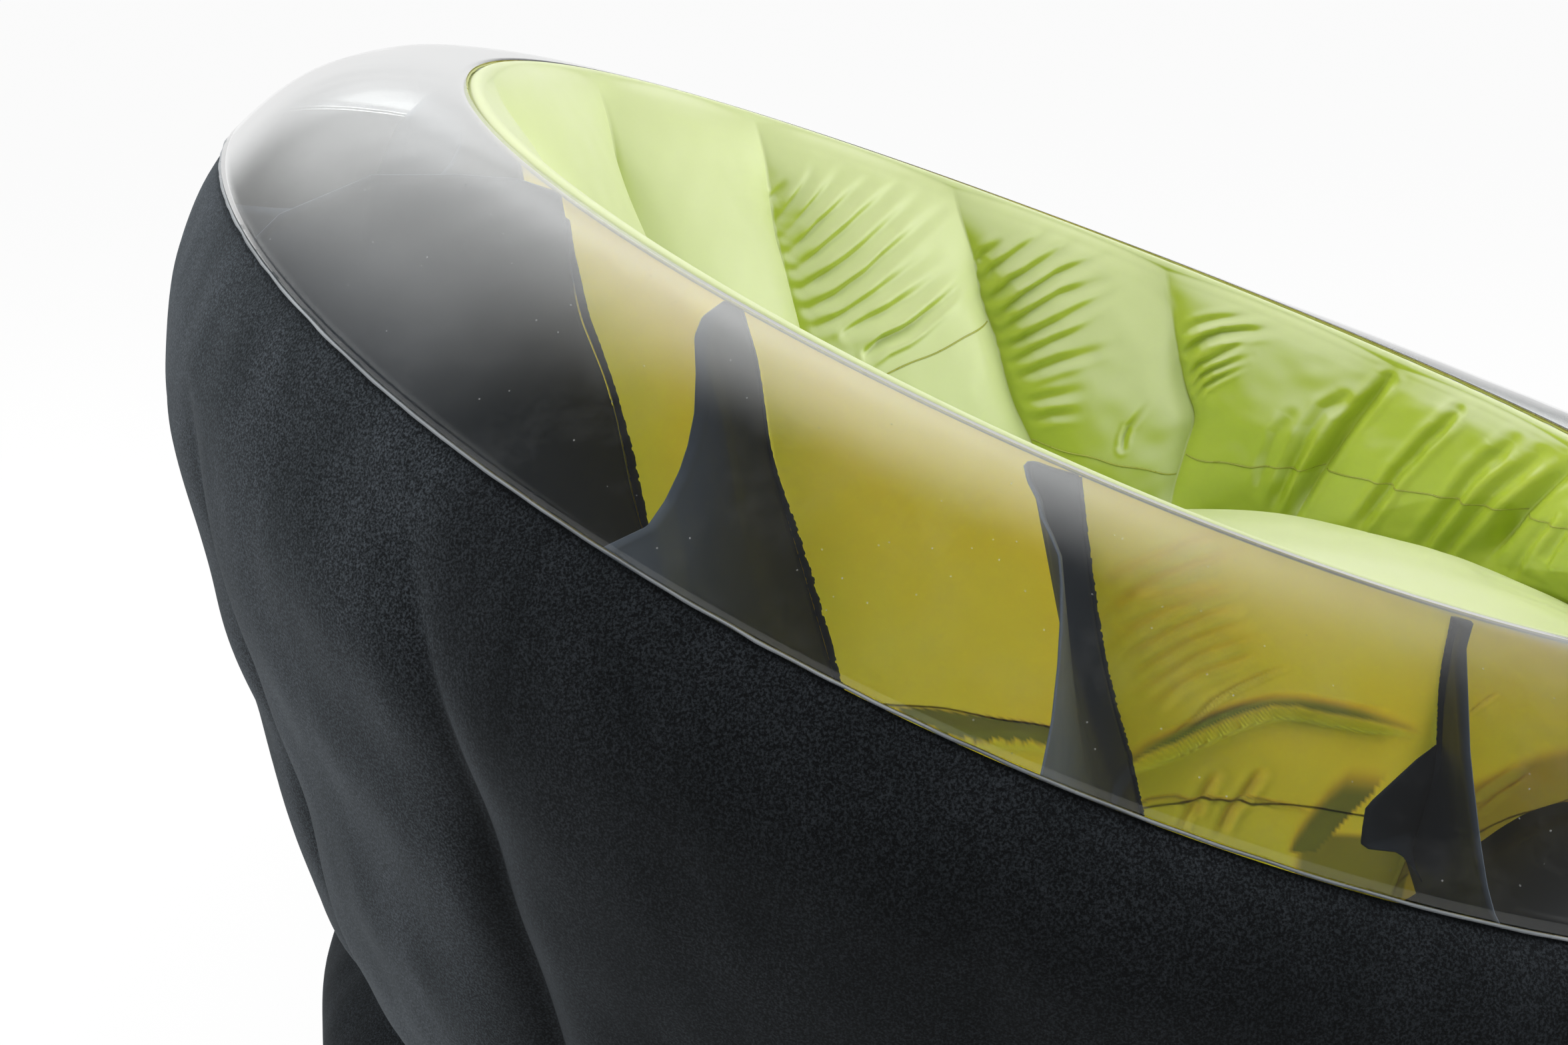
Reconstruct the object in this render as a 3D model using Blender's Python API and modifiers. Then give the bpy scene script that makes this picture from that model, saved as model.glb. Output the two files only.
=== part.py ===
"""Inflatable tub armchair, built as the welded films that hold its air.

The chair faces -Y, +Z is up and the units are metres.  Angles run round the tub
from the rear (+Y) towards the sitter's right (-X).  Every film is a thin shell
lofted through rings of points, and films that meet share the same columns, so
that a changed size keeps each edge on its seam.
"""

import math

import bmesh
import bpy
from mathutils import Matrix, Vector

MM = 0.001

# Driving sizes of the well, whose rim heights are depths above the seat's seam
TUB_CENTRE_Y = -0.0115
SEAT_SEAM_RADIUS = 0.302
SEAT_SEAM_HEIGHT = 0.296
SEAT_FORWARD = 0.055
SEAT_CROWN = 0.090
WELL_REAR_DEPTH = 0.380
WELL_SIDE_DEPTH = 0.222
WELL_FRONT_DEPTH = 0.088
INNER_SEAM_RADIUS = 0.390
INNER_SEAM_REAR_HEIGHT = SEAT_SEAM_HEIGHT + WELL_REAR_DEPTH
INNER_SEAM_SIDE_HEIGHT = SEAT_SEAM_HEIGHT + WELL_SIDE_DEPTH
INNER_SEAM_FRONT_HEIGHT = SEAT_SEAM_HEIGHT + WELL_FRONT_DEPTH

# The clear band falls from the inner seam to the outer rim seam
BAND_REAR_FALL = 0.028
BAND_SIDE_FALL = 0.086
BAND_FRONT_FALL = 0.064
BAND_ARCH = 0.0215
RIM_SEAM_RADIUS = 0.520
RIM_SEAM_REAR_HEIGHT = INNER_SEAM_REAR_HEIGHT - BAND_REAR_FALL
RIM_SEAM_SIDE_HEIGHT = INNER_SEAM_SIDE_HEIGHT - BAND_SIDE_FALL
RIM_SEAM_FRONT_HEIGHT = INNER_SEAM_FRONT_HEIGHT - BAND_FRONT_FALL

# Base, whose seam lies below the seat's seam
BASE_SEAM_RADIUS = 0.462
DIVIDER_FALL = 0.111
BASE_SEAM_HEIGHT = SEAT_SEAM_HEIGHT - DIVIDER_FALL
BASE_SWELL = 0.046
BASE_FOOT_RADIUS = 0.452

# Films
FILM = 0.5 * MM
CLEARANCE = 0.3 * MM
SEAM_THICKNESS = 1.0 * MM
RIM_FLANGE_WIDTH = 3.0 * MM
INNER_FLANGE_WIDTH = 3.0 * MM
BEAD_SIZE = 3.0 * MM

# Cells between the tension panels
PANEL_COUNT = 14
COLUMNS_PER_CELL = 6
WALL_SWELL = 0.0536
CREASE_DEPTH = 0.014
PILLOW_DEPTH = 0.024
PANEL_TAB = 0.012
PANEL_TAB_DROP = 0.012
PANEL_OUTER_DROP = 0.055
PANEL_SAG = 0.022
PANEL_FOOT_GAP = 0.022
FREE_EDGE_POINTS = 8

# Valves
VALVE_BORE_RADIUS = 6.0 * MM
VALVE_WALL = 1.5 * MM
VALVE_LIP = 2.5 * MM
VALVE_NECK = 14.0 * MM
STRAP_REACH = 16.0 * MM
VALVE_FLANGE_RADIUS = STRAP_REACH + 3.0 * MM
VALVE_FLANGE_THICKNESS = 1.2 * MM
PLUG_DEPTH = 6.0 * MM
PLUG_TIP_RADIUS = 5.0 * MM
PLUG_HEAD_RADIUS = 9.5 * MM
PLUG_HEAD_THICKNESS = 2.0 * MM
STRAP_WIDTH = 5.0 * MM
STRAP_THICKNESS = 1.2 * MM
HINGE_RADIUS = 0.9 * MM
PULL_TAB_LENGTH = 7.0 * MM
FLAP_THICKNESS = 0.6 * MM
VALVE_CELL = 1.5
VALVE_SIDES = 24

COLUMNS = PANEL_COUNT * COLUMNS_PER_CELL
STEP = 2.0 * math.pi / COLUMNS

# Shares of the wall's height, of its swell and of its crease depth
WALL_PROFILE = (
    (0.00, 0.00, 0.0),
    (0.05, 0.45, 0.8),
    (0.20, 0.71, 1.0),
    (0.50, 0.90, 0.9),
    (0.76, 1.00, 0.5),
    (0.92, 0.50, 0.1),
    (1.00, 0.00, 0.0),
)
# Shares of the way down the inner wall and of the pillow's depth
INNER_PROFILE = (
    (0.00, 0.00),
    (0.04, 0.46),
    (0.15, 0.82),
    (0.42, 1.00),
    (0.72, 0.90),
    (0.93, 0.45),
    (1.00, 0.00),
)
# Shares of the base ring's height, from its seam to the floor, and of its swell
BASE_PROFILE = (
    (0.00, 0.00),
    (0.17, 0.76),
    (0.46, 1.00),
    (0.76, 0.74),
    (1.00, 0.00),
)
BAND_STEPS = 4
SEAT_SHARES = (1.0, 0.82, 0.50)


def clear_scene():
    """Take the start scene's objects out."""
    for item in list(bpy.data.objects):
        bpy.data.objects.remove(item, do_unlink=True)


def make_collection(name):
    """Return a new collection that hangs on the scene."""
    group = bpy.data.collections.new(name)
    bpy.context.scene.collection.children.link(group)
    return group


def make_material(name, colour, roughness, alpha=1.0):
    """Return a Principled material of one colour."""
    material = bpy.data.materials.new(name)
    material.use_nodes = True
    shader = material.node_tree.nodes["Principled BSDF"]
    shader.inputs["Base Color"].default_value = (*colour, 1.0)
    shader.inputs["Roughness"].default_value = roughness
    shader.inputs["Alpha"].default_value = alpha
    return material


clear_scene()
PARTS = make_collection("inflatable_chair")
CUTTERS = make_collection("cutters")
CUTTERS.hide_render = True

FLOCK = make_material("charcoal_flocked_film", (0.028, 0.031, 0.034), 0.95)
CLEAR = make_material("clear_film", (0.80, 0.82, 0.82), 0.08, 0.25)
LIME = make_material("lime_film", (0.48, 0.66, 0.12), 0.35)
BLACK = make_material("black_film", (0.020, 0.022, 0.025), 0.45)
SEAM_GREEN = make_material("green_weld", (0.40, 0.50, 0.12), 0.35)
SEAM_GREY = make_material("grey_weld", (0.30, 0.31, 0.32), 0.40)
VALVE_GREY = make_material("soft_valve_vinyl", (0.055, 0.058, 0.062), 0.50)


def place(angle, radius, height):
    """Return the point at an angle, radius and height of the tub."""
    return Vector((-radius * math.sin(angle), TUB_CENTRE_Y + radius * math.cos(angle), height))


def height_round(angle, rear, side, front):
    """Return a seam's height at an angle, from its rear, side and front heights."""
    turn = math.cos(angle)
    return side + (rear - front) / 2.0 * turn + ((rear + front) / 2.0 - side) * turn * turn


def rim_seam(angle):
    """Return the outer rim seam as radius and height."""
    height = height_round(angle, RIM_SEAM_REAR_HEIGHT, RIM_SEAM_SIDE_HEIGHT, RIM_SEAM_FRONT_HEIGHT)
    return RIM_SEAM_RADIUS, height


def inner_seam(angle):
    """Return the inner rim seam as radius and height."""
    height = height_round(
        angle, INNER_SEAM_REAR_HEIGHT, INNER_SEAM_SIDE_HEIGHT, INNER_SEAM_FRONT_HEIGHT
    )
    return INNER_SEAM_RADIUS, height


def base_seam(angle):
    """Return the seam between wall and base as radius and height."""
    return BASE_SEAM_RADIUS, BASE_SEAM_HEIGHT


def seat_seam(angle):
    """Return the seat's seam, a circle set forward of the tub's axis."""
    aside = SEAT_FORWARD * math.sin(angle)
    radius = math.sqrt(SEAT_SEAM_RADIUS ** 2 - aside ** 2) - SEAT_FORWARD * math.cos(angle)
    return radius, SEAT_SEAM_HEIGHT


def foot_seam(angle):
    """Return the seam between base ring and bottom sheet."""
    return BASE_FOOT_RADIUS, BEAD_SIZE / 2.0 + FILM + CLEARANCE


def lobe(column):
    """Return 0 on a panel's line and 1 in the middle of a cell."""
    share = (column % COLUMNS_PER_CELL) / COLUMNS_PER_CELL
    return 4.0 * share * (1.0 - share)


def blend(start, end, share):
    """Return the value at a share of the way between two."""
    return start + (end - start) * share


def wall_point(column, row):
    """Return the flocked wall's radius and height at a column and row."""
    angle = column * STEP
    level, swell, crease = WALL_PROFILE[row]
    top_radius, top_height = rim_seam(angle)
    low_radius, low_height = base_seam(angle)
    rear_height = RIM_SEAM_REAR_HEIGHT - BASE_SEAM_HEIGHT
    fullness = math.sqrt((top_height - low_height) / rear_height)
    radius = blend(low_radius, top_radius, level) + WALL_SWELL * fullness * swell
    radius -= CREASE_DEPTH * fullness * crease * (1.0 - lobe(column))
    end_gap = SEAM_THICKNESS / 2.0 + FILM + CLEARANCE
    foot_gap = BEAD_SIZE / 2.0 + FILM + CLEARANCE
    height = blend(low_height + foot_gap, top_height - end_gap, level)
    return radius, height


def inner_wall_point(column, row):
    """Return the inner wall's radius and height at a column and row."""
    angle = column * STEP
    level, pillow = INNER_PROFILE[row]
    top_radius, top_height = inner_seam(angle)
    low_radius, low_height = seat_seam(angle)
    rear_height = INNER_SEAM_REAR_HEIGHT - SEAT_SEAM_HEIGHT
    fullness = math.sqrt((top_height - low_height) / rear_height)
    end_gap = SEAM_THICKNESS / 2.0 + FILM + CLEARANCE
    foot_gap = BEAD_SIZE / 2.0 + FILM + CLEARANCE
    radius = blend(top_radius, low_radius, level)
    radius -= PILLOW_DEPTH * fullness * pillow * lobe(column)
    height = blend(top_height - end_gap, low_height + foot_gap, level)
    return radius, height


def band_point(column, row):
    """Return the clear band's radius and height, from outer to inner seam."""
    angle = column * STEP
    share = row / BAND_STEPS
    outer_radius, outer_height = rim_seam(angle)
    inner_radius, inner_height = inner_seam(angle)
    end_gap = SEAM_THICKNESS / 2.0 + FILM + CLEARANCE
    radius = blend(outer_radius, inner_radius, share)
    height = blend(outer_height, inner_height, share) + end_gap
    return radius, height + BAND_ARCH * 4.0 * share * (1.0 - share)


def base_ring_point(column, row):
    """Return the base ring's radius and height, from its seam to the floor."""
    angle = column * STEP
    share, swell = BASE_PROFILE[row]
    top_radius, top_height = base_seam(angle)
    foot_radius, foot_height = foot_seam(angle)
    gap = BEAD_SIZE / 2.0 + FILM + CLEARANCE
    radius = blend(top_radius, foot_radius, share) + BASE_SWELL * swell
    height = blend(top_height - gap, foot_height + gap, share)
    return radius, height


def divider_point(column, row):
    """Return the divider's radius and height, from seat seam to base seam."""
    angle = column * STEP
    inner_radius, inner_height = seat_seam(angle)
    outer_radius, outer_height = base_seam(angle)
    gap = BEAD_SIZE / 2.0 + FILM / 2.0 + CLEARANCE
    if row == 0:
        return inner_radius + gap, inner_height
    return outer_radius - gap, outer_height


def rings(point, row_count):
    """Return one ring of points for each row of a film."""
    loops = []
    for row in range(row_count):
        loops.append([place(column * STEP, *point(column, row)) for column in range(COLUMNS)])
    return loops


def add_object(name, mesh, material):
    """Put a mesh in the chair's collection under its name."""
    item = bpy.data.objects.new(name, mesh)
    PARTS.objects.link(item)
    mesh.materials.append(material)
    return item


def loft_mesh(name, loops, closed_section=False, tip=None):
    """Return a mesh of four-sided faces through rings of points.

    A closed section joins the last ring to the first, and a tip closes the last
    ring to one point.
    """
    count = len(loops[0])
    points = [point for loop in loops for point in loop]
    faces = []
    last = len(loops) if closed_section else len(loops) - 1
    for row in range(last):
        low = row * count
        high = ((row + 1) % len(loops)) * count
        for column in range(count):
            after = (column + 1) % count
            faces.append((low + column, low + after, high + after, high + column))
    if tip is not None:
        points.append(tip)
        low = (len(loops) - 1) * count
        for column in range(count):
            faces.append((low + column, low + (column + 1) % count, len(points) - 1))
    mesh = bpy.data.meshes.new(name)
    mesh.from_pydata(points, [], faces)
    mesh.update()
    return mesh


def face_outwards(mesh):
    """Turn all faces of a closed mesh outwards."""
    work = bmesh.new()
    work.from_mesh(mesh)
    bmesh.ops.recalc_face_normals(work, faces=work.faces)
    work.to_mesh(mesh)
    work.free()


def thicken(item, thickness):
    """Give a film its thickness, half to each side."""
    solidify = item.modifiers.new("film_thickness", "SOLIDIFY")
    solidify.thickness = thickness
    solidify.offset = 0.0
    solidify.use_even_offset = True
    return item


def make_film(name, loops, material, tip=None):
    """Make a film as a thin closed shell through rings of points."""
    mesh = loft_mesh(name, loops, tip=tip)
    face_outwards(mesh)
    return thicken(add_object(name, mesh, material), FILM)


def make_seam(name, seam, section, material):
    """Make a welded seam: a ring whose section is a list of radius and height offsets."""
    loops = []
    for aside, up in section:
        loop = []
        for column in range(COLUMNS):
            radius, height = seam(column * STEP)
            loop.append(place(column * STEP, radius + aside, height + up))
        loops.append(loop)
    mesh = loft_mesh(name, loops, closed_section=True)
    face_outwards(mesh)
    return add_object(name, mesh, material)


def flange_section(direction, width):
    """Return the flat section of a rim seam that stands out in or outwards."""
    half = SEAM_THICKNESS / 2.0
    root = -direction * 1.5 * MM
    edge = direction * width
    return [(root, -half), (edge, -half), (edge, half), (root, half)]


def bead_section():
    """Return the square section of a seam where three films meet."""
    half = BEAD_SIZE / 2.0
    return [(-half, -half), (half, -half), (half, half), (-half, half)]


def make_seat():
    """Make the crowned seat sheet inside its seam."""
    centre = Vector((0.0, TUB_CENTRE_Y - SEAT_FORWARD, SEAT_SEAM_HEIGHT))
    edge_gap = BEAD_SIZE / 2.0 + FILM / 2.0 + CLEARANCE
    loops = []
    for share in SEAT_SHARES:
        loop = []
        for column in range(COLUMNS):
            radius, height = seat_seam(column * STEP)
            edge = place(column * STEP, radius - edge_gap, height)
            point = centre.lerp(edge, share)
            point.z += SEAT_CROWN * (1.0 - share ** 2)
            loop.append(point)
        loops.append(loop)
    tip = centre + Vector((0.0, 0.0, SEAT_CROWN))
    return make_film("seat_sheet", loops, LIME, tip)


def make_bottom():
    """Make the flat bottom sheet that the chair stands on."""
    radius = BASE_FOOT_RADIUS + BEAD_SIZE / 2.0
    points = [place(column * STEP, radius, FILM / 2.0) for column in range(COLUMNS)]
    mesh = bpy.data.meshes.new("bottom_sheet")
    mesh.from_pydata(points, [], [tuple(range(COLUMNS))])
    return thicken(add_object("bottom_sheet", mesh, BLACK), FILM)


def cut_line(points, low, high):
    """Return the part of a rising line of radius and height between two heights."""
    kept = []
    for (radius, height), (next_radius, next_height) in zip(points, points[1:]):
        for level in (low, high):
            if height < level < next_height:
                share = (level - height) / (next_height - height)
                kept.append((blend(radius, next_radius, share), level))
        if low < next_height < high:
            kept.append((next_radius, next_height))
    return sorted(kept, key=lambda point: point[1])


def shift_line(points, distance):
    """Return a line of radius and height moved sideways by a distance."""
    moved = []
    for index, (radius, height) in enumerate(points):
        before = points[max(index - 1, 0)]
        after = points[min(index + 1, len(points) - 1)]
        along = Vector((after[0] - before[0], after[1] - before[1])).normalized()
        moved.append((radius + along.y * distance, height - along.x * distance))
    return moved


def free_edge(start, corner, end):
    """Return a sagging free edge between two welds, without its end points."""
    points = []
    for index in range(1, FREE_EDGE_POINTS):
        share = index / FREE_EDGE_POINTS
        first = (blend(start[0], corner[0], share), blend(start[1], corner[1], share))
        second = (blend(corner[0], end[0], share), blend(corner[1], end[1], share))
        points.append((blend(first[0], second[0], share), blend(first[1], second[1], share)))
    return points


def make_panel(index):
    """Make one tension panel, welded to both walls and free above and below."""
    column = index * COLUMNS_PER_CELL
    angle = column * STEP
    inner_rows = reversed(range(len(INNER_PROFILE)))
    inner = [inner_wall_point(column, row) for row in inner_rows]
    outer = [wall_point(column, row) for row in range(len(WALL_PROFILE))]
    inset = FILM / 2.0 + CLEARANCE
    inner_low = seat_seam(angle)[1] + PANEL_FOOT_GAP
    inner_high = inner_seam(angle)[1] - PANEL_TAB_DROP
    outer_low = base_seam(angle)[1] + PANEL_FOOT_GAP
    outer_high = rim_seam(angle)[1] - PANEL_OUTER_DROP
    inner_edge = shift_line(cut_line(inner, inner_low, inner_high), inset)
    outer_edge = shift_line(cut_line(outer, outer_low, outer_high), -inset)
    outer_edge.reverse()
    corner = (inner_edge[-1][0] + PANEL_TAB, outer_edge[0][1] - PANEL_SAG)
    outline = inner_edge + free_edge(inner_edge[-1], corner, outer_edge[0]) + outer_edge
    points = [place(angle, radius, height) for radius, height in outline]
    name = f"tension_panel_{index + 1:02d}"
    mesh = bpy.data.meshes.new(name)
    mesh.from_pydata(points, [], [tuple(range(len(points)))])
    return thicken(add_object(name, mesh, BLACK), FILM)


def turned(name, profile):
    """Return an object turned round Z from a closed profile of radius and height."""
    mesh = bpy.data.meshes.new(name)
    edges = [(index, (index + 1) % len(profile)) for index in range(len(profile))]
    mesh.from_pydata([(radius, 0.0, height) for radius, height in profile], edges, [])
    item = add_object(name, mesh, VALVE_GREY)
    screw = item.modifiers.new("turn", "SCREW")
    screw.steps = VALVE_SIDES
    screw.render_steps = VALVE_SIDES
    screw.use_merge_vertices = True
    screw.merge_threshold = 0.01 * MM
    return item


def rounded_plate(name, length, width, low, high, start):
    """Return a plate along X from a start, between two heights."""
    bpy.ops.mesh.primitive_cube_add(size=1.0)
    item = bpy.context.object
    item.name = name
    item.scale = (length, width, high - low)
    item.location = (start + length / 2.0, 0.0, (low + high) / 2.0)
    bpy.ops.object.transform_apply(location=True, rotation=False, scale=True)
    return item


def pin(name, radius, length, centre):
    """Return a round pin along Y at a centre."""
    bpy.ops.mesh.primitive_cylinder_add(vertices=12, radius=radius, depth=length, location=centre)
    item = bpy.context.object
    item.name = name
    item.rotation_euler = (math.pi / 2.0, 0.0, 0.0)
    bpy.ops.object.transform_apply(location=True, rotation=True, scale=False)
    return item


def freeze(item):
    """Turn an object's modifiers into plain mesh."""
    scene_graph = bpy.context.evaluated_depsgraph_get()
    mesh = bpy.data.meshes.new_from_object(item.evaluated_get(scene_graph))
    item.modifiers.clear()
    item.data = mesh
    face_outwards(mesh)
    return item


def join_solids(item, others, operation="UNION"):
    """Add other solids to an object, or cut them from it, and drop them."""
    for other in others:
        change = item.modifiers.new("join", "BOOLEAN")
        change.operation = operation
        change.solver = "EXACT"
        change.object = other
    freeze(item)
    for other in others:
        bpy.data.objects.remove(other, do_unlink=True)
    return item


def valve_collar(name):
    """Make the valve's flange and neck, with the root of the plug's strap."""
    neck = VALVE_BORE_RADIUS + VALVE_WALL
    low = CLEARANCE + FILM / 2.0
    top = low + VALVE_FLANGE_THICKNESS
    collar = turned(name, [
        (VALVE_BORE_RADIUS, -VALVE_NECK),
        (neck, -VALVE_NECK),
        (neck, low),
        (VALVE_FLANGE_RADIUS, low),
        (VALVE_FLANGE_RADIUS, top),
        (neck, top),
        (neck, top + VALVE_LIP),
        (VALVE_BORE_RADIUS, top + VALVE_LIP),
    ])
    freeze(collar)
    hinge_height = top + VALVE_LIP + HINGE_RADIUS
    gap = HINGE_RADIUS + CLEARANCE
    post = rounded_plate("post", 2.0 * MM, STRAP_WIDTH, top - 0.5 * MM, hinge_height,
                         -STRAP_REACH - gap - 2.0 * MM)
    return join_solids(collar, [post])


def valve_plug(name):
    """Make the stopper with its pull tab, strap and rolled hinge end."""
    lip = CLEARANCE + FILM / 2.0 + VALVE_FLANGE_THICKNESS + VALVE_LIP
    head_low = lip + CLEARANCE
    head_high = head_low + PLUG_HEAD_THICKNESS
    shaft = VALVE_BORE_RADIUS - CLEARANCE
    plug = turned(name, [
        (0.0, lip - PLUG_DEPTH),
        (PLUG_TIP_RADIUS, lip - PLUG_DEPTH),
        (shaft, head_low),
        (PLUG_HEAD_RADIUS, head_low),
        (PLUG_HEAD_RADIUS, head_high),
        (0.0, head_high),
    ])
    freeze(plug)
    strap_low = lip + HINGE_RADIUS - STRAP_THICKNESS / 2.0
    strap_high = strap_low + STRAP_THICKNESS
    strap = rounded_plate("strap", STRAP_REACH - PLUG_HEAD_RADIUS + 2.0 * MM, STRAP_WIDTH,
                          strap_low, strap_high, -STRAP_REACH)
    knuckle = pin("knuckle", HINGE_RADIUS, STRAP_WIDTH, (-STRAP_REACH, 0.0, lip + HINGE_RADIUS))
    tab = rounded_plate("tab", PULL_TAB_LENGTH + 2.0 * MM, STRAP_WIDTH, strap_low + 0.4 * MM,
                        strap_high, PLUG_HEAD_RADIUS - 2.0 * MM)
    return join_solids(plug, [strap, knuckle, tab])


def valve_flap(name):
    """Make the one-way flap that closes the neck's inner end."""
    high = -VALVE_NECK - CLEARANCE
    radius = VALVE_BORE_RADIUS + VALVE_WALL
    flap = turned(name, [
        (0.0, high - FLAP_THICKNESS),
        (radius, high - FLAP_THICKNESS),
        (radius, high),
        (0.0, high),
    ])
    return freeze(flap)


def valve_frame(angle, start, end):
    """Return the matrix of a valve half way between two points of a film.

    Its Z axis is the film's outward normal, and its X axis points up the film.
    """
    low = place(angle, *start)
    high = place(angle, *end)
    up = (high - low).normalized()
    along = Vector((-math.cos(angle), -math.sin(angle), 0.0))
    out = along.cross(up)
    along = out.cross(up)
    turn = Matrix((up, along, out)).transposed().to_4x4()
    return Matrix.Translation((low + high) / 2.0) @ turn


def cut_hole(film, frame):
    """Cut the valve's hole through a film."""
    radius = VALVE_BORE_RADIUS + VALVE_WALL + CLEARANCE
    bpy.ops.mesh.primitive_cylinder_add(vertices=VALVE_SIDES, radius=radius, depth=0.02)
    cutter = bpy.context.object
    cutter.name = f"{film.name}_valve_hole"
    cutter.matrix_world = frame
    cutter.display_type = "WIRE"
    cutter.hide_render = True
    for group in list(cutter.users_collection):
        group.objects.unlink(cutter)
    CUTTERS.objects.link(cutter)
    hole = film.modifiers.new("valve_hole", "BOOLEAN")
    hole.operation = "DIFFERENCE"
    hole.solver = "EXACT"
    hole.object = cutter


def make_valve(prefix, film, frame):
    """Make a valve's three pieces on a film, and report its hinge lines."""
    cut_hole(film, frame)
    lip = CLEARANCE + FILM / 2.0 + VALVE_FLANGE_THICKNESS + VALVE_LIP
    plug_hinge = Vector((-STRAP_REACH, 0.0, lip + HINGE_RADIUS))
    flap_hinge = Vector((-VALVE_BORE_RADIUS - VALVE_WALL, 0.0, -VALVE_NECK - CLEARANCE))
    valve_collar(f"{prefix}_collar").matrix_world = frame
    for piece, hinge in ((valve_plug(f"{prefix}_plug"), plug_hinge),
                         (valve_flap(f"{prefix}_flap"), flap_hinge)):
        piece.data.transform(Matrix.Translation(-hinge))
        piece.matrix_world = frame @ Matrix.Translation(hinge)
        axis = frame.to_3x3() @ Vector((0.0, 1.0, 0.0))
        print(piece.name, "hinge at", tuple(piece.matrix_world.translation), "axis", tuple(axis))


def build():
    """Make every piece of the chair."""
    wall = make_film("outer_wall", rings(wall_point, len(WALL_PROFILE)), FLOCK)
    make_film("rim_band", rings(band_point, BAND_STEPS + 1), CLEAR)
    make_film("inner_wall", rings(inner_wall_point, len(INNER_PROFILE)), LIME)
    base = make_film("base_ring", rings(base_ring_point, len(BASE_PROFILE)), BLACK)
    make_film("chamber_divider", rings(divider_point, 2), BLACK)
    make_seat()
    make_bottom()
    rim_section = flange_section(1.0, RIM_FLANGE_WIDTH)
    make_seam("outer_rim_seam", rim_seam, rim_section, SEAM_GREY)
    inner_section = flange_section(-1.0, INNER_FLANGE_WIDTH)
    make_seam("inner_rim_seam", inner_seam, inner_section, SEAM_GREEN)
    make_seam("seat_seam", seat_seam, bead_section(), SEAM_GREEN)
    make_seam("base_seam", base_seam, bead_section(), BLACK)
    make_seam("foot_seam", foot_seam, bead_section(), BLACK)
    for index in range(PANEL_COUNT):
        make_panel(index)
    column = -round(VALVE_CELL * COLUMNS_PER_CELL)
    angle = column * STEP
    wall_frame = valve_frame(angle, wall_point(column, 2), wall_point(column, 3))
    make_valve("wall_valve", wall, wall_frame)
    base_frame = valve_frame(angle, base_ring_point(column, 2), base_ring_point(column, 1))
    make_valve("base_valve", base, base_frame)


build()
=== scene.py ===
"""Inflatable tub armchair: its films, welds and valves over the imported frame.

Every length is in metres.  Angles run round the tub from the rear (+Y) towards
the sitter's right (-X), and the chair is the same on both sides.  A film is a
fine open surface that a Solidify modifier closes into a thin shell.
"""

from __future__ import annotations

import logging
import math
from dataclasses import dataclass
from enum import Enum
from functools import partial
from typing import Any, Callable, Sequence

import bpy
import numpy as np
from mathutils import Matrix, Vector


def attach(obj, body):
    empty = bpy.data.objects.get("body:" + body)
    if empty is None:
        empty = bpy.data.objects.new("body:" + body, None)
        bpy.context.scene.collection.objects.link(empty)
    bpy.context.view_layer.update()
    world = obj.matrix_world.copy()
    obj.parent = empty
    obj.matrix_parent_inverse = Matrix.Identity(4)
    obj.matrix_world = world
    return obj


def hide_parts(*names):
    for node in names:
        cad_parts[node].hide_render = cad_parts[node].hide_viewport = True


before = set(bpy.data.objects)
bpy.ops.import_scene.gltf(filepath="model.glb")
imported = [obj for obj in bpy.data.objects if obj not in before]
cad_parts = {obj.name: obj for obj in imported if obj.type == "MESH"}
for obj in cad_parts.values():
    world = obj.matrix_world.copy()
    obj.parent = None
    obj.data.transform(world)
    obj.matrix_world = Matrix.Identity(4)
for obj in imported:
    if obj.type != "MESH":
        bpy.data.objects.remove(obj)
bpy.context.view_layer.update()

LOG = logging.getLogger("inflatable_chair")
MM = 0.001
TUB = "tub"
PANELS = 14
HALF = PANELS // 2


class Slot(Enum):
    """Material slots of the record."""

    FLOCK = "charcoal_flocked_film"
    CLEAR = "clear_film"
    LIME = "lime_film"
    BLACK = "black_film"
    GREEN_WELD = "green_weld"
    GREY_WELD = "grey_weld"
    VALVE = "soft_valve_vinyl"


# Small tools


def linear(colour: str) -> tuple[float, float, float, float]:
    """Turn an sRGB hex colour into linear values.

    Args:
        colour: The colour as "#rrggbb".

    Returns:
        Red, green, blue and an alpha of 1.
    """
    parts = [int(colour[start:start + 2], 16) / 255.0 for start in (1, 3, 5)]
    steps = [p / 12.92 if p <= 0.04045 else ((p + 0.055) / 1.055) ** 2.4 for p in parts]
    return (*steps, 1.0)


def smooth(low: float, high: float, value: np.ndarray) -> np.ndarray:
    """Rise smoothly from 0 at low to 1 at high."""
    share = np.clip((np.asarray(value, dtype=float) - low) / (high - low), 0.0, 1.0)
    return share * share * (3.0 - 2.0 * share)


def mix(start: Any, end: Any, share: Any) -> Any:
    """Return the value at a share of the way between two."""
    return start + (end - start) * share


def curve(knots: Sequence[tuple[float, float]], value: np.ndarray) -> np.ndarray:
    """Read a smooth curve through knots.

    Args:
        knots: Pairs of place and height, with rising places.
        value: The places to read.

    Returns:
        The heights there, held at the ends.
    """
    places = np.array([knot[0] for knot in knots])
    heights = np.array([knot[1] for knot in knots])
    slopes = np.gradient(heights, places)
    value = np.clip(value, places[0], places[-1])
    index = np.clip(np.searchsorted(places, value, side="right") - 1, 0, len(places) - 2)
    width = places[index + 1] - places[index]
    share = (value - places[index]) / width
    rise = share * share * (3.0 - 2.0 * share)
    lead = share * (1.0 - share) ** 2 * width * slopes[index]
    tail = share * share * (share - 1.0) * width * slopes[index + 1]
    return mix(heights[index], heights[index + 1], rise) + lead + tail


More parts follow.
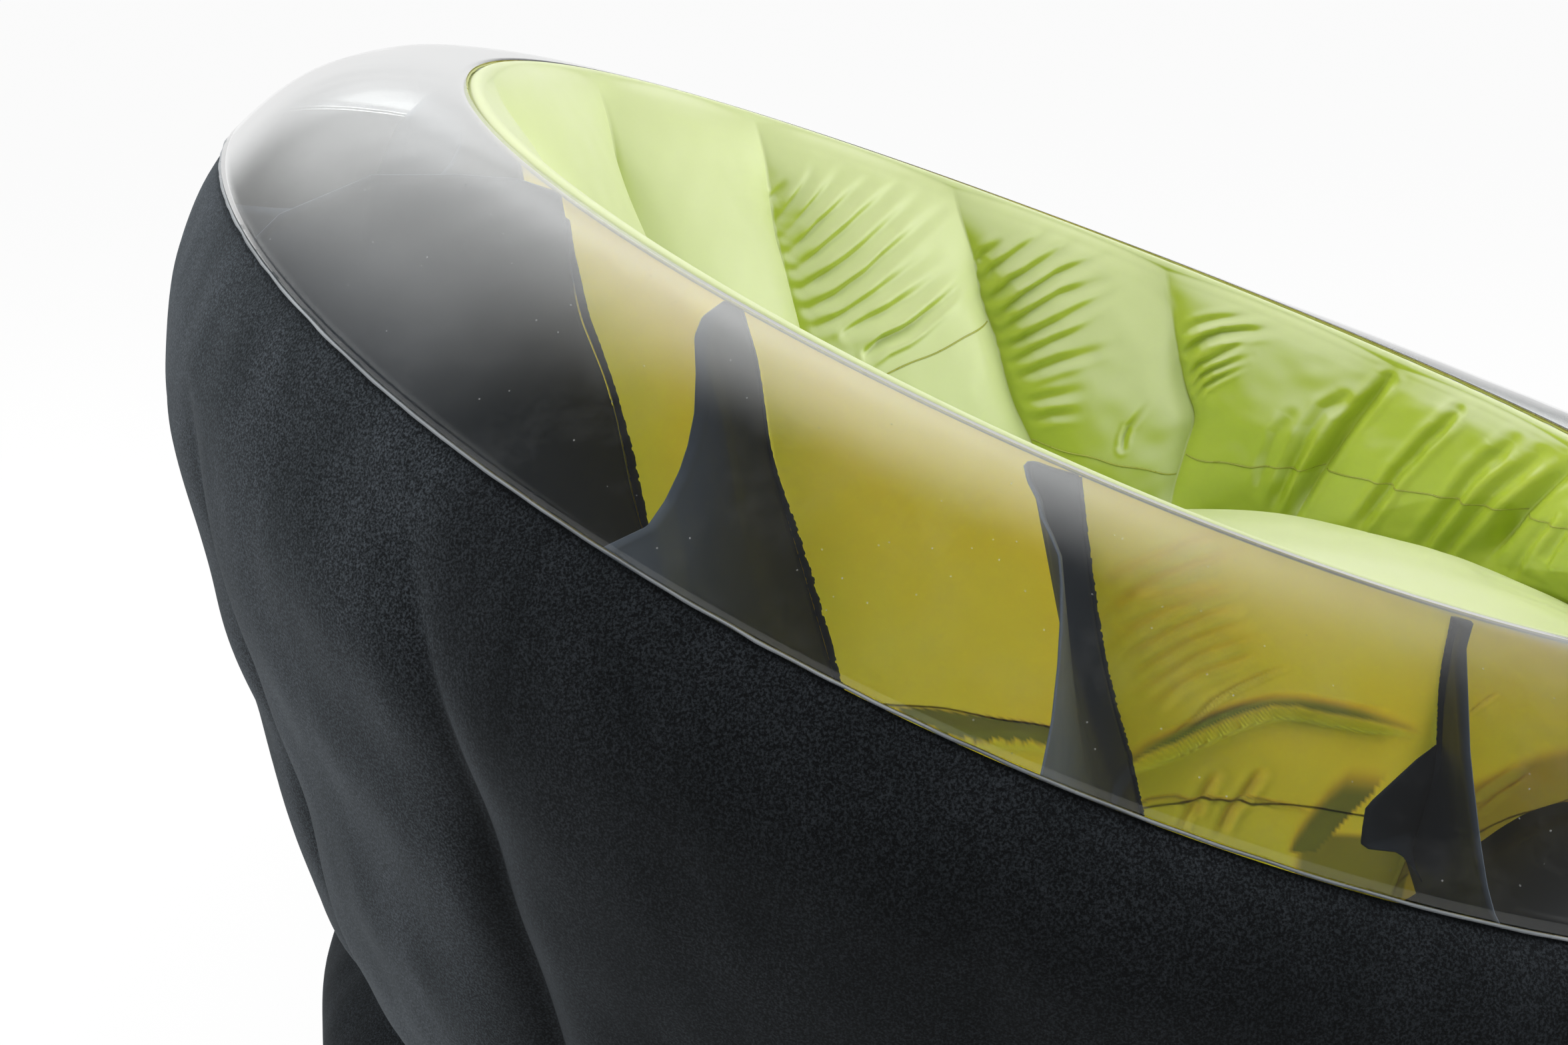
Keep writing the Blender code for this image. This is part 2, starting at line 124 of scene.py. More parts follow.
def ripple(seed: int, first: np.ndarray, second: np.ndarray, waves: int = 9) -> np.ndarray:
    """Return smooth seeded unevenness between about -1 and 1.

    Args:
        seed: The seed of this pattern.
        first: One coordinate, in pattern lengths.
        second: The other coordinate, in pattern lengths.
        waves: How many waves are added up.

    Returns:
        One value for each pair of coordinates.
    """
    chance = np.random.default_rng(seed)
    total = np.zeros(np.broadcast(first, second).shape)
    for _ in range(waves):
        turn = chance.uniform(0.0, 2.0 * math.pi)
        pace = chance.uniform(0.6, 1.6) * 2.0 * math.pi
        along = first * math.cos(turn) + second * math.sin(turn)
        total = total + np.sin(along * pace + chance.uniform(0.0, 2.0 * math.pi))
    return total / math.sqrt(waves)


def fill_mesh(mesh: bpy.types.Mesh, points: Sequence[Any], faces: Sequence[Any]) -> bpy.types.Mesh:
    """Give a mesh new points and faces, shaded smooth."""
    mesh.clear_geometry()
    mesh.from_pydata(points, [], faces)
    mesh.update()
    mesh.shade_smooth()
    return mesh


def read_mesh(mesh: bpy.types.Mesh) -> tuple[list[Any], list[Any]]:
    """Return a mesh's points and faces as lists."""
    return [tuple(vertex.co) for vertex in mesh.vertices], [tuple(face.vertices) for face in mesh.polygons]


def grid_mesh(name: str, points: np.ndarray, wrap: bool = True) -> bpy.types.Mesh:
    """Make a mesh of four-sided faces over rows and columns of points.

    Args:
        name: The mesh's name.
        points: An array of rows, columns and three coordinates.
        wrap: Whether the last column joins the first.

    Returns:
        The mesh, shaded smooth.
    """
    rows, columns = points.shape[:2]
    index = np.arange(rows * columns).reshape(rows, columns)
    if wrap:
        index = np.concatenate([index, index[:, :1]], axis=1)
    corners = np.stack([index[:-1, :-1], index[:-1, 1:], index[1:, 1:], index[1:, :-1]], axis=-1)
    return fill_mesh(
        bpy.data.meshes.new(name), points.reshape(-1, 3).tolist(), corners.reshape(-1, 4).tolist()
    )


def add_piece(
    name: str,
    mesh: bpy.types.Mesh,
    finishes: Sequence[bpy.types.Material],
    nodes: Sequence[str] = (),
) -> bpy.types.Object:
    """Put a mesh in the scene as a piece that rides on the tub.

    Args:
        name: The piece's name.
        mesh: Its mesh.
        finishes: Its materials, in the order of its slots.
        nodes: The CAD nodes that it stands for.

    Returns:
        The new object.
    """
    piece = bpy.data.objects.new(name, mesh)
    bpy.context.scene.collection.objects.link(piece)
    for finish in finishes:
        mesh.materials.append(finish)
    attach(piece, TUB)
    if nodes:
        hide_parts(*nodes)
    LOG.info("made %s, %d points", name, len(mesh.vertices))
    return piece


def thicken(piece: bpy.types.Object, thickness: float, back: int = 0) -> bpy.types.Object:
    """Close an open film into a thin shell.

    Args:
        piece: The film.
        thickness: The shell's thickness, half of it to each side.
        back: How many material slots further the back's material is.

    Returns:
        The same object.
    """
    shell = piece.modifiers.new("film_thickness", "SOLIDIFY")
    shell.thickness = thickness
    shell.offset = 0.0
    shell.material_offset = back
    shell.material_offset_rim = 0
    return piece


# The tub's lines


@dataclass(frozen=True)
class TubLines:
    """Seams and welds that the films share."""

    centre_y: float = -0.0115
    rim_radius: float = 0.520
    rim_heights: tuple[float, float, float] = (0.648, 0.432, 0.320)
    inner_radius: float = 0.390
    inner_heights: tuple[float, float, float] = (0.676, 0.518, 0.384)
    base_radius: float = 0.462
    base_height: float = 0.185
    seat_radius: float = 0.302
    seat_height: float = 0.296
    seat_forward: float = 0.055
    foot_radius: float = 0.452
    film: float = 0.5 * MM
    gap: float = 0.3 * MM
    bead: float = 3.0 * MM
    weld: float = 1.0 * MM

    @property
    def bead_clear(self) -> float:
        """How far a film keeps from the middle of a round seam."""
        return self.bead / 2.0 + self.film + self.gap

    @property
    def weld_clear(self) -> float:
        """How far a film keeps from the middle of a flat seam."""
        return self.weld / 2.0 + self.film + self.gap

    def place(self, angle: Any, radius: Any, height: Any) -> np.ndarray:
        """Return points from angle, radius and height, with x, y and z last."""
        angle, radius, height = np.broadcast_arrays(angle, radius, height)
        side = -radius * np.sin(angle)
        return np.stack([side, self.centre_y + radius * np.cos(angle), height], axis=-1)

    @staticmethod
    def round_height(angle: Any, heights: tuple[float, float, float]) -> Any:
        """Return a seam's height from its rear, side and front heights."""
        rear, side, front = heights
        turn = np.cos(angle)
        return side + (rear - front) / 2.0 * turn + ((rear + front) / 2.0 - side) * turn * turn

    def rim(self, angle: Any) -> tuple[Any, Any]:
        """Return the outer rim seam's radius and height."""
        return self.rim_radius, self.round_height(angle, self.rim_heights)

    def inner(self, angle: Any) -> tuple[Any, Any]:
        """Return the inner rim seam's radius and height."""
        return self.inner_radius, self.round_height(angle, self.inner_heights)

    def seat(self, angle: Any) -> tuple[Any, Any]:
        """Return the seat seam's radius, a circle set forward, and height."""
        aside = self.seat_forward * np.sin(angle)
        radius = np.sqrt(self.seat_radius ** 2 - aside ** 2) - self.seat_forward * np.cos(angle)
        return radius, self.seat_height + 0.0 * angle


LINES = TubLines()


@dataclass(frozen=True)
class Crease:
    """One tension panel's weld lines, as degrees from the rear.

    Attributes:
        inner: Knots of depth share and angle down the inner wall.
        outer: Knots of height share and angle up the flocked wall.
        start: How far below the outer rim the outer crease begins, in metres.
    """

    inner: tuple[tuple[float, float], ...]
    outer: tuple[tuple[float, float], ...]
    start: float = 0.045


def straight(angle: float) -> tuple[tuple[float, float], ...]:
    """Return the knots of a weld that keeps its angle."""
    return ((0.0, angle), (1.0, angle))


OUTER_B = ((0.0, 51.4), (0.45, 50.8), (0.75, 49.2), (0.9, 46.8), (1.0, 46.4))
SLANT_5 = ((0.0, 129.0), (0.14, 127.9), (0.4, 125.4), (0.63, 123.0), (1.0, 119.5))
SLANT_6 = ((0.0, 152.5), (0.26, 150.6), (0.5, 148.2), (1.0, 144.0))
# The sitter's right, from the rear to the front
RIGHT = (
    Crease(straight(0.0), straight(0.0), 0.080),
    Crease(
        ((0.0, 33.0), (0.04, 31.6), (0.08, 30.2), (0.13, 28.8), (0.2, 28.0), (0.3, 27.6), (1.0, 27.4)),
        straight(25.2), 0.087,
    ),
    Crease(straight(52.0), OUTER_B, 0.037),
    Crease(
        ((0.0, 76.2), (0.17, 76.8), (0.26, 77.3), (0.38, 78.1), (0.52, 79.4), (0.62, 80.6), (1.0, 83.5)),
        straight(75.0), 0.048,
    ),
    Crease(
        ((0.0, 100.9), (0.14, 101.6), (0.25, 102.1), (0.36, 102.7), (0.55, 103.6), (1.0, 104.4)),
        straight(101.0),
    ),
    Crease(SLANT_5, straight(127.0)), Crease(SLANT_6, straight(153.5)),
    Crease(straight(180.0), straight(180.0)),
)
# The sitter's left, where the same panels pulled a little differently
LEFT = (
    RIGHT[0],
    Crease(((0.0, 28.3), (0.1, 27.4), (0.3, 26.7), (1.0, 26.4)), straight(25.2), 0.087),
    RIGHT[2],
    Crease(
        (
            (0.0, 76.8), (0.1, 77.4), (0.2, 78.7), (0.34, 79.8), (0.41, 80.8), (0.6, 82.8), (0.75, 85.6),
            (1.0, 86.5),
        ),
        straight(75.0), 0.048,
    ),
    Crease(
        (
            (0.0, 101.6), (0.15, 102.7), (0.3, 103.8), (0.45, 105.1), (0.55, 106.4), (0.67, 105.8),
            (0.85, 104.6), (1.0, 104.0),
        ),
        straight(101.0),
    ),
    RIGHT[5], RIGHT[6], RIGHT[7],
)


def weld_angle(index: int, share: Any, outer: bool) -> Any:
    """Return a panel's weld angle in radians.

    Args:
        index: The panel, from 0 at the rear round to 14.
        share: The depth share on the inner wall, or the height share outside.
        outer: Whether the weld is the one on the flocked wall.

    Returns:
        The angle at each share.
    """
    crease = RIGHT[index] if index <= HALF else LEFT[PANELS - index]
    degrees = curve(crease.outer if outer else crease.inner, share)
    return np.radians(degrees if index <= HALF else 360.0 - degrees)


def cell_angle(cell: np.ndarray, share: np.ndarray, outer: bool) -> np.ndarray:
    """Return the angle at a cell coordinate, whose whole numbers are the panels."""
    index = np.floor(cell).astype(int)
    angles = np.zeros(np.broadcast(cell, share).shape)
    for number in range(PANELS):
        here = np.broadcast_to(index == number, angles.shape)
        low = weld_angle(number, share, outer)
        high = weld_angle(number + 1, share, outer)
        angles = np.where(here, mix(low, high, cell - number), angles)
    return angles


def once_round(columns: int) -> np.ndarray:
    """Return a row of angles once round the tub."""
    return np.linspace(0.0, 2.0 * math.pi, columns, endpoint=False)[None, :]


def mirrored(cell: np.ndarray) -> tuple[np.ndarray, np.ndarray]:
    """Return the cell's number from the rear and the share of it from its rear weld."""
    folded = np.where(cell > HALF, PANELS - cell, cell)
    number = np.minimum(np.floor(folded), HALF - 1)
    return number, folded - number


# Finishes


def add_node(
    tree: bpy.types.NodeTree, kind: str, inputs: dict[Any, Any] | None = None, **settings: Any
) -> bpy.types.Node:
    """Add a node with its settings, values and links.

    Args:
        tree: The node tree.
        kind: Blender's name of the node's type, without its "ShaderNode".
        inputs: Values, sockets or nodes by the input's name or number; a node stands for its
            first output in use.
        settings: The node's own settings.

    Returns:
        The node.
    """
    node = tree.nodes.new("ShaderNode" + kind)
    for name, value in settings.items():
        setattr(node, name, value)
    for key, value in (inputs or {}).items():
        if isinstance(value, bpy.types.Node):
            value = next(socket for socket in value.outputs if socket.enabled)
        if isinstance(value, bpy.types.NodeSocket):
            tree.links.new(value, node.inputs[key])
        else:
            node.inputs[key].default_value = value
    return node


def new_material(name: str) -> tuple[bpy.types.Material, Callable[..., bpy.types.Node]]:
    """Return an empty material and the function that adds nodes to it."""
    material = bpy.data.materials.new(name)
    material.use_nodes = True
    material.node_tree.nodes.clear()
    return material, partial(add_node, material.node_tree)


# The way that film faces where painted light makes it palest, up and a little towards the front
PAINTED_LIGHT_FACING = (-0.05, -0.52, 0.85)


@dataclass(frozen=True)
class VinylFilm:
    """Calendered PVC film of one pigment, with the uneven gloss that rolls leave.

    Attributes:
        name: The material's name.
        colour: Its colour.
        cloud: The colour of its fainter, cloudy patches.
        roughness: Its roughness, from satin to gloss.
        cloud_mm: The size of the cloudy patches.
        grain_mm: The grain's size; real grain of 0.2 mm is drawn coarser to show.
        grain_depth_mm: The grain's depth.
        ripple_mm: The size of the soft dents in the film.
        ripple_depth_mm: Their depth.
        specular: The strength of its gloss.
        glow: How much of the light wanders through the film.
        coat: The weight of the clear gloss over the pigment.
        sheen_and_painted_light: The pale colour painted on film that faces up and forward, standing in for
            the light there, if any.
        painted_shade_colour: The colour of the painted shade on the air side, in its folds and where film
            lies behind, by the mesh's painted_shade_values.
    """

    name: str
    colour: str
    cloud: str
    roughness: float
    cloud_mm: float = 85.0
    grain_mm: float = 1.6
    grain_depth_mm: float = 0.015
    ripple_mm: float = 38.0
    ripple_depth_mm: float = 0.12
    specular: float = 0.5
    glow: float = 0.0
    coat: float = 0.0
    sheen_and_painted_light: str = ""
    painted_shade_colour: str = ""

    def build(self) -> bpy.types.Material:
        """Make the material: cloudy pigment, painted light and shade where given, patchy gloss and a soft
        surface.
        """
        material, add = new_material(self.name)
        where = add("TexCoord").outputs["Object"]
        clouds = add("TexNoise", {"Vector": where, "Scale": 1.0 / (self.cloud_mm * MM), "Detail": 4.0})
        grain = add("TexNoise", {"Vector": where, "Scale": 1.0 / (self.grain_mm * MM), "Detail": 2.0})
        dents = add(
            "TexNoise",
            {"Vector": where, "Scale": 1.0 / (self.ripple_mm * MM), "Detail": 3.0, "Distortion": 0.6},
        )
        patch = add("MapRange", {"Value": clouds, "From Min": 0.35, "From Max": 0.65})
        pigment = add("Mix", {0: patch, 6: linear(self.colour), 7: linear(self.cloud)}, data_type="RGBA")
        # Painted light: film that faces up and forward is drawn paler, as if lit
        if self.sheen_and_painted_light:
            normal = add("NewGeometry").outputs["Normal"]
            facing_light = add("VectorMath", {0: normal, 1: PAINTED_LIGHT_FACING}, operation="DOT_PRODUCT")
            painted_shading = add(
                "MapRange",
                {"Value": facing_light.outputs["Value"], "From Min": 0.10, "From Max": 0.50},
                interpolation_type="SMOOTHSTEP",
            )
            pigment = add("Mix", {0: painted_shading, 6: pigment, 7: linear(self.sheen_and_painted_light)}, data_type="RGBA")
        # Painted shade: the air side is drawn darker in its folds and where film lies behind it
        if self.painted_shade_colour:
            behind = add("Attribute", attribute_name="painted_shade_values")
            pigment = add(
                "Mix", {0: behind.outputs["Fac"], 6: pigment, 7: linear(self.painted_shade_colour)}, data_type="RGBA"
            )
        gloss = add(
            "MapRange",
            {
                "Value": dents, "From Min": 0.3, "From Max": 0.7, "To Min": self.roughness - 0.05,
                "To Max": self.roughness + 0.07,
            },
        )
        soft = add("Bump", {"Height": dents, "Distance": self.ripple_depth_mm * MM, "Strength": 1.0})
        fine = add(
            "Bump", {"Height": grain, "Distance": self.grain_depth_mm * MM, "Strength": 1.0, "Normal": soft}
        )
        shader = add(
            "BsdfPrincipled",
            {
                "Base Color": pigment, "Roughness": gloss, "Normal": fine, "IOR": 1.53,
                "Specular IOR Level": self.specular, "Subsurface Weight": self.glow,
                "Subsurface Radius": (1.0, 1.0, 1.0), "Subsurface Scale": 3.0 * MM,
                "Coat Weight": self.coat, "Coat Roughness": 0.34, "Coat IOR": 1.5,
            },
        )
        add("OutputMaterial", {"Surface": shader})
        return material


@dataclass(frozen=True)
class FlockedFilm:
    """Vinyl flocked with short nylon fibre, which scatters light and shows brushed tracks."""

    name: str = "flocked_vinyl_charcoal"
    colour: str = "#2f3337"
    brushed: str = "#24282b"
    # The tint of the fibre's sheen at flat angles
    sheen_and_painted_light: str = "#8d959c"
    # Real fibre is under 1 mm; its clumps are drawn coarser, to show
    fibre_mm: float = 1.15
    track_mm: float = 55.0
    # Painted shade: round the sides, from about 48 degrees from the rear, the flock is drawn darker
    painted_side_shade: float = 0.54

    def build(self) -> bpy.types.Material:
        """Make the material: matte fibre, paler at a flat angle, with soft tracks and painted shade round the
        sides.
        """
        material, add = new_material(self.name)
        where = add("TexCoord").outputs["Object"]
        stretched = add("Mapping", {"Vector": where, "Scale": (1.0, 1.0, 0.45)})
        tracks = add(
            "TexNoise",
            {
                "Vector": stretched, "Scale": 1.0 / (self.track_mm * MM), "Detail": 5.0, "Roughness": 0.6,
                "Distortion": 0.8,
            },
        )
        fibre = add(
            "TexNoise",
            {"Vector": where, "Scale": 1.0 / (self.fibre_mm * MM), "Detail": 3.0, "Roughness": 0.7},
        )
        lint = add("TexVoronoi", {"Vector": where, "Scale": 1.0 / (14.0 * MM), "Randomness": 1.0})
        track = add("MapRange", {"Value": tracks, "From Min": 0.35, "From Max": 0.65})
        nap = add(
            "MapRange",
            {"Value": fibre, "From Min": 0.40, "From Max": 0.68, "To Min": 0.20, "To Max": 2.5},
            interpolation_type="SMOOTHSTEP",
        )
        base = add("Mix", {0: track, 6: linear(self.colour), 7: linear(self.brushed)}, data_type="RGBA")
        # Painted shade: darker past about 48 degrees round from the rear
        split = add("SeparateXYZ", {0: where})
        aside = add("Math", {0: split.outputs["X"]}, operation="ABSOLUTE")
        back = add("Math", {0: split.outputs["Y"], 1: -LINES.centre_y}, operation="ADD")
        turn = add("Math", {0: aside, 1: back}, operation="ARCTAN2")
        side_shade_share = add(
            "MapRange",
            {
                "Value": turn, "From Min": math.radians(46.5), "From Max": math.radians(50.0),
                "To Min": 1.0, "To Max": self.painted_side_shade,
            },
            interpolation_type="SMOOTHSTEP",
        )
        pile = add("Math", {0: nap, 1: side_shade_share}, operation="MULTIPLY")
        shaded = add("VectorMath", {0: base, "Scale": pile}, operation="SCALE")
        speck = add(
            "MapRange", {"Value": lint, "From Min": 0.0, "From Max": 0.035, "To Min": 0.30, "To Max": 0.0}
        )
        dusted = add("Mix", {0: speck, 6: shaded, 7: linear("#6d7378")}, data_type="RGBA")
        bump = add("Bump", {"Height": fibre, "Distance": 0.12 * MM, "Strength": 1.0})
        shader = add(
            "BsdfPrincipled",
            {
                "Base Color": dusted, "Roughness": 0.95, "Normal": bump, "IOR": 1.53,
                "Specular IOR Level": 0.2, "Sheen Weight": 0.35, "Sheen Roughness": 0.45,
                "Sheen Tint": linear(self.sheen_and_painted_light),
            },
        )
        add("OutputMaterial", {"Surface": shader})
        return material


@dataclass(frozen=True)
class ClearFilm:
    """Clear glossy PVC film: light goes straight through, and flat angles mirror the room."""

    name: str = "clear_vinyl_gloss"
    tint: str = "#fafbfb"
    roughness: float = 0.10
    face_on: float = 0.043
    # How much the wiped smudges veil
    smudges: float = 0.016

    def build(self) -> bpy.types.Material:
        """Make the material: see-through, a mirror part that grows at flat angles, smudges and dust."""
        material, add = new_material(self.name)
        where = add("TexCoord").outputs["Object"]
        waves = add("TexNoise", {"Vector": where, "Scale": 1.0 / 0.045, "Detail": 3.0, "Distortion": 0.5})
        bump = add("Bump", {"Height": waves, "Distance": 0.06 * MM, "Strength": 1.0})
        facing = add("LayerWeight", {"Blend": 0.5, "Normal": bump})
        power = add("Math", {0: facing.outputs["Facing"], 1: 4.4}, operation="POWER")
        rising = add("MapRange", {"Value": power, "To Min": self.face_on, "To Max": 1.0})
        flat = add(
            "MapRange",
            {"Value": facing.outputs["Facing"], "From Min": 0.68, "From Max": 0.86},
            interpolation_type="SMOOTHSTEP",
        )
        share = add("MapRange", {"Value": flat, "To Min": rising, "To Max": 0.97})
        through = add("BsdfTransparent", {"Color": linear(self.tint)})
        mirror = add(
            "BsdfPrincipled",
            {"Base Color": linear("#f4f5f5"), "Metallic": 1.0, "Roughness": self.roughness, "Normal": bump},
        )
        both = add("MixShader", {0: share, 1: through, 2: mirror})
        wiped = add(
            "TexNoise",
            {"Vector": where, "Scale": 1.0 / 0.055, "Detail": 7.0, "Roughness": 0.72, "Distortion": 0.2},
        )
        smudge = add("MapRange", {"Value": wiped, "From Min": 0.48, "From Max": 0.72, "To Max": self.smudges})
        dust = add("TexVoronoi", {"Vector": where, "Scale": 1.0 / (11.0 * MM), "Randomness": 1.0})
        speck = add(
            "MapRange", {"Value": dust, "From Min": 0.03, "From Max": 0.05, "To Min": 0.22, "To Max": 0.0}
        )
        marks = add("Math", {0: smudge, 1: speck}, operation="MAXIMUM")
        veil = add("BsdfDiffuse", {"Color": linear("#e6e8e8")})
        used = add("MixShader", {0: marks, 1: both, 2: veil})
        add("OutputMaterial", {"Surface": used})
        return material


@dataclass(frozen=True)
class Finishes:
    """Every material of the chair, made once."""

    flock: bpy.types.Material
    base_flock: bpy.types.Material
    clear: bpy.types.Material
    lime: bpy.types.Material
    underside: bpy.types.Material
    black: bpy.types.Material
    panel: bpy.types.Material
    green_weld: bpy.types.Material
    olive_weld: bpy.types.Material
    grey_weld: bpy.types.Material
    valve: bpy.types.Material
    air_side: bpy.types.Material

    @classmethod
    def make(cls) -> Finishes:
        """Make the materials."""
        return cls(
            # Soft charcoal pile that swallows light, with a pale sheen at flat angles and painted shade round
            # its sides
            flock=FlockedFilm().build(),
            # The base's flock is drawn darker than the wall's
            base_flock=FlockedFilm("flocked_vinyl_black", "#1c1f22", "#15181a", "#6d747a").build(),
            # Glass-like where it is seen face on, a mirror where it curves away
            clear=ClearFilm().build(),
            # Satin film on the sitter's side: lime, with painted light, a paler colour where it faces up and
            # forward
            lime=VinylFilm(
                "lime_vinyl_satin", "#b4c741", "#abbf3a", 0.42, glow=0.6, coat=0.5, sheen_and_painted_light="#cddb99"
            ).build(),
            # The same film's air side: unprinted, so its ochre base shows, with painted shade in its folds
            # and where film lies behind
            underside=VinylFilm(
                "ochre_vinyl_air_side", "#fcca20", "#f5c01a", 0.45, glow=1.0, specular=0.2, painted_shade_colour="#3f3e16"
            ).build(),
            # Smooth black film of base, floor and divider
            black=VinylFilm("black_vinyl_satin", "#1d2023", "#191c1f", 0.42).build(),
            # Panel film, a little greyer than the base
            panel=VinylFilm("panel_vinyl_graphite", "#5a6370", "#505965", 0.48, specular=0.3).build(),
            # Seams pressed flat by the welding bar: glossier, with short dents
            green_weld=VinylFilm("lime_vinyl_welded", "#a6ab50", "#979c42", 0.30, ripple_mm=12.0).build(),
            olive_weld=VinylFilm("olive_vinyl_melted", "#a79b2c", "#8d8a2c", 0.25, ripple_mm=8.0).build(),
            grey_weld=VinylFilm("grey_vinyl_welded", "#8f9498", "#6d7276", 0.30, ripple_mm=12.0).build(),
            # The flocked wall's back, dulled by the flock's glue
            air_side=VinylFilm("charcoal_vinyl_air_side", "#3a4046", "#343a40", 0.55, specular=0.3).build(),
            # Moulded valves: dull and even, with a fine grain
            valve=VinylFilm(
                "moulded_soft_vinyl", "#3c4043", "#36393c", 0.48,
                grain_mm=0.8, ripple_mm=9.0, ripple_depth_mm=0.03,
            ).build(),
        )


# Films


@dataclass
class FlockedWall:
    """The outer wall: fourteen lobes between the panels' welds."""

    finish: Finishes
    swell: float = 0.0536
    crease_depth: float = 0.014
    columns_per_cell: int = 44
    rows: int = 110
    profile: tuple[tuple[float, float], ...] = (
        (0.0, 0.0), (0.015, 0.28), (0.05, 0.47), (0.119, 0.63), (0.25, 0.745), (0.38, 0.81), (0.53, 0.93),
        (0.62, 0.985), (0.70, 1.0), (0.77, 0.96), (0.81, 0.885), (0.875, 0.69), (0.918, 0.50),
        (0.961, 0.27), (1.0, 0.0),
    )

    def crease(self, cell: np.ndarray, below: np.ndarray, level: np.ndarray) -> np.ndarray:
        """Return how deep the nearest weld pulls the wall in, from 0 to 1."""
        nearest = np.round(np.where(cell > HALF, PANELS - cell, cell)).astype(int)
        start = np.array([crease.start for crease in RIGHT])[nearest]
        fade_in = 1.0 - np.exp(-np.maximum(below - start * 0.75, 0.0) / 0.075)
        return fade_in * (0.82 + 0.18 * smooth(0.0, 0.12, level))

    def surface(self, cell: np.ndarray, level: np.ndarray) -> tuple[np.ndarray, np.ndarray, np.ndarray]:
        """Return angle, radius and height at a cell coordinate and height share."""
        angle = cell_angle(cell % PANELS, level, outer=True)
        top_radius, top_height = LINES.rim(angle)
        fullness = np.sqrt((top_height - LINES.base_height) / (LINES.rim_heights[0] - LINES.base_height))
        lobe = 1.0 - np.abs(2.0 * (cell % 1.0) - 1.0) ** 6.0
        below = (1.0 - level) * (top_height - LINES.base_height)
        radius = mix(
            LINES.base_radius, top_radius, level
        ) + self.swell * fullness * curve(self.profile, level)
        radius = radius - self.crease_depth * fullness * self.crease(
            cell % PANELS, below, level
        ) * (1.0 - lobe)
        around = angle * LINES.rim_radius
        soft = ripple(11, around / 0.16, below / 0.11) * 1.1 * MM + ripple(
            12, around / 0.06, below / 0.09
        ) * 0.35 * MM
        radius = radius + soft * smooth(0.0, 0.08, level) * smooth(1.0, 0.93, level)
        foot = LINES.bead_clear
        head = LINES.weld_clear
        return angle, radius, mix(LINES.base_height + foot, top_height - head, level)

    def make(self) -> bpy.types.Object:
        """Make the wall, with a round opening under each valve's flange."""
        cell = np.arange(PANELS * self.columns_per_cell) / self.columns_per_cell
        level = np.linspace(0.0, 1.0, self.rows)[:, None]
        points = LINES.place(*self.surface(cell[None, :], level))
        mesh = grid_mesh("flocked_wall", VALVES.settle(points, "wall_valve"))
        VALVES.open_hole(mesh, "wall_valve")
        piece = add_piece(
            "flocked_wall", mesh, [self.finish.flock, self.finish.air_side], ["outer_wall"]
        )
        return thicken(piece, LINES.film, back=1)


@dataclass(frozen=True)
class Fold:
    """One fold of the inner wall, as points of degrees and height.

    Attributes:
        half: Half of the valley's width, in millimetres.
        drop: How far it sinks away from the sitter, in millimetres.
        path: Its points; degrees are below zero on the sitter's left.
        painted_darkness: How much painted shade darkens the fold's line on the air side.
        tail: How far it runs on past its last point, as a share of its length.
    """

    half: float
    drop: float
    path: tuple[tuple[float, float], ...]
    painted_darkness: float = 0.0
    tail: float = 0.0

    def mirror(self) -> Fold:
        """Return the same fold on the other side."""
        return Fold(
            self.half, self.drop,
            tuple((-degrees, height) for degrees, height in self.path),
            self.painted_darkness, self.tail,
        )

    def valley(self, degrees: np.ndarray, height: np.ndarray) -> tuple[np.ndarray, np.ndarray]:
        """Return the fold's section, 1 at its line, and its fading towards both ends.

        Args:
            degrees: Angles from the rear.
            height: Heights, in metres.

        Returns:
            The share of the fold's depth and the share of its painted shade, at each place.
        """
        spots = np.array(self.path) * (FOLD_STEP, 1000.0)
        if self.tail:
            last = spots[-1] - spots[-2]
            length = np.linalg.norm(np.diff(spots, axis=0), axis=1).sum()
            spots = np.concatenate([spots, [spots[-1] + last / np.linalg.norm(last) * length * self.tail]])
        place = np.stack(np.broadcast_arrays(degrees * FOLD_STEP, height * 1000.0), axis=-1)
        near = (
            (place > spots.min(axis=0) - 5.0 * self.half) & (place < spots.max(axis=0) + 5.0 * self.half)
        ).all(axis=-1)
        here = place[near]
        gap = np.full(len(here), 1.0e6)
        run = np.zeros(len(here))
        steps = np.diff(spots, axis=0)
        lengths = np.linalg.norm(steps, axis=1)
        for start, step, length, before in zip(spots, steps, lengths, np.cumsum(lengths) - lengths):
            along = np.clip((here - start) @ step / length ** 2, 0.0, 1.0)
            apart = np.linalg.norm(here - start - along[:, None] * step, axis=1)
            run = np.where(apart < gap, (before + along * length) / lengths.sum(), run)
            gap = np.minimum(gap, apart)
        fade = smooth(-0.12, 0.15, run) * smooth(1.1, 0.8 - 0.5 * (self.tail > 0.0), run)
        sink = np.zeros(near.shape)
        painted_fold_shade = np.zeros(near.shape)
        painted_fold_shade[near] = np.exp(-(gap / self.half) ** 2) * fade
        sink[near] = painted_fold_shade[near] - 0.45 * np.exp(-((gap / self.half - 1.9) / 0.9) ** 2) * fade
        return sink, painted_fold_shade


@dataclass(frozen=True)
class Ledge:
    """An edge below which the wall swells out towards the air side.

    Attributes:
        edge: Points of degrees and height along the edge.
        out: How far it swells, in millimetres.
        fall: The length over which the swelling fades below the edge, in millimetres.
    """

    edge: tuple[tuple[float, float], ...]
    out: float
    fall: float

    def sink(self, degrees: np.ndarray, height: np.ndarray) -> np.ndarray:
        """Return how far the wall stands away from the sitter, in metres."""
        places, heights = np.array(self.edge).T
        below = (np.interp(degrees, places, heights) - height) * 1000.0
        swell = smooth(-1.2, 2.4, below) * np.exp(
            -np.maximum(below, 0.0) / self.fall
        ) - 0.4 * np.exp(-((below + 6.0) / 4.0) ** 2)
        ends = smooth(places[0] - 1.0, places[0] + 4.0, degrees) * smooth(
            places[-1] + 1.0, places[-1] - 4.0, degrees
        )
        return self.out * MM * swell * ends


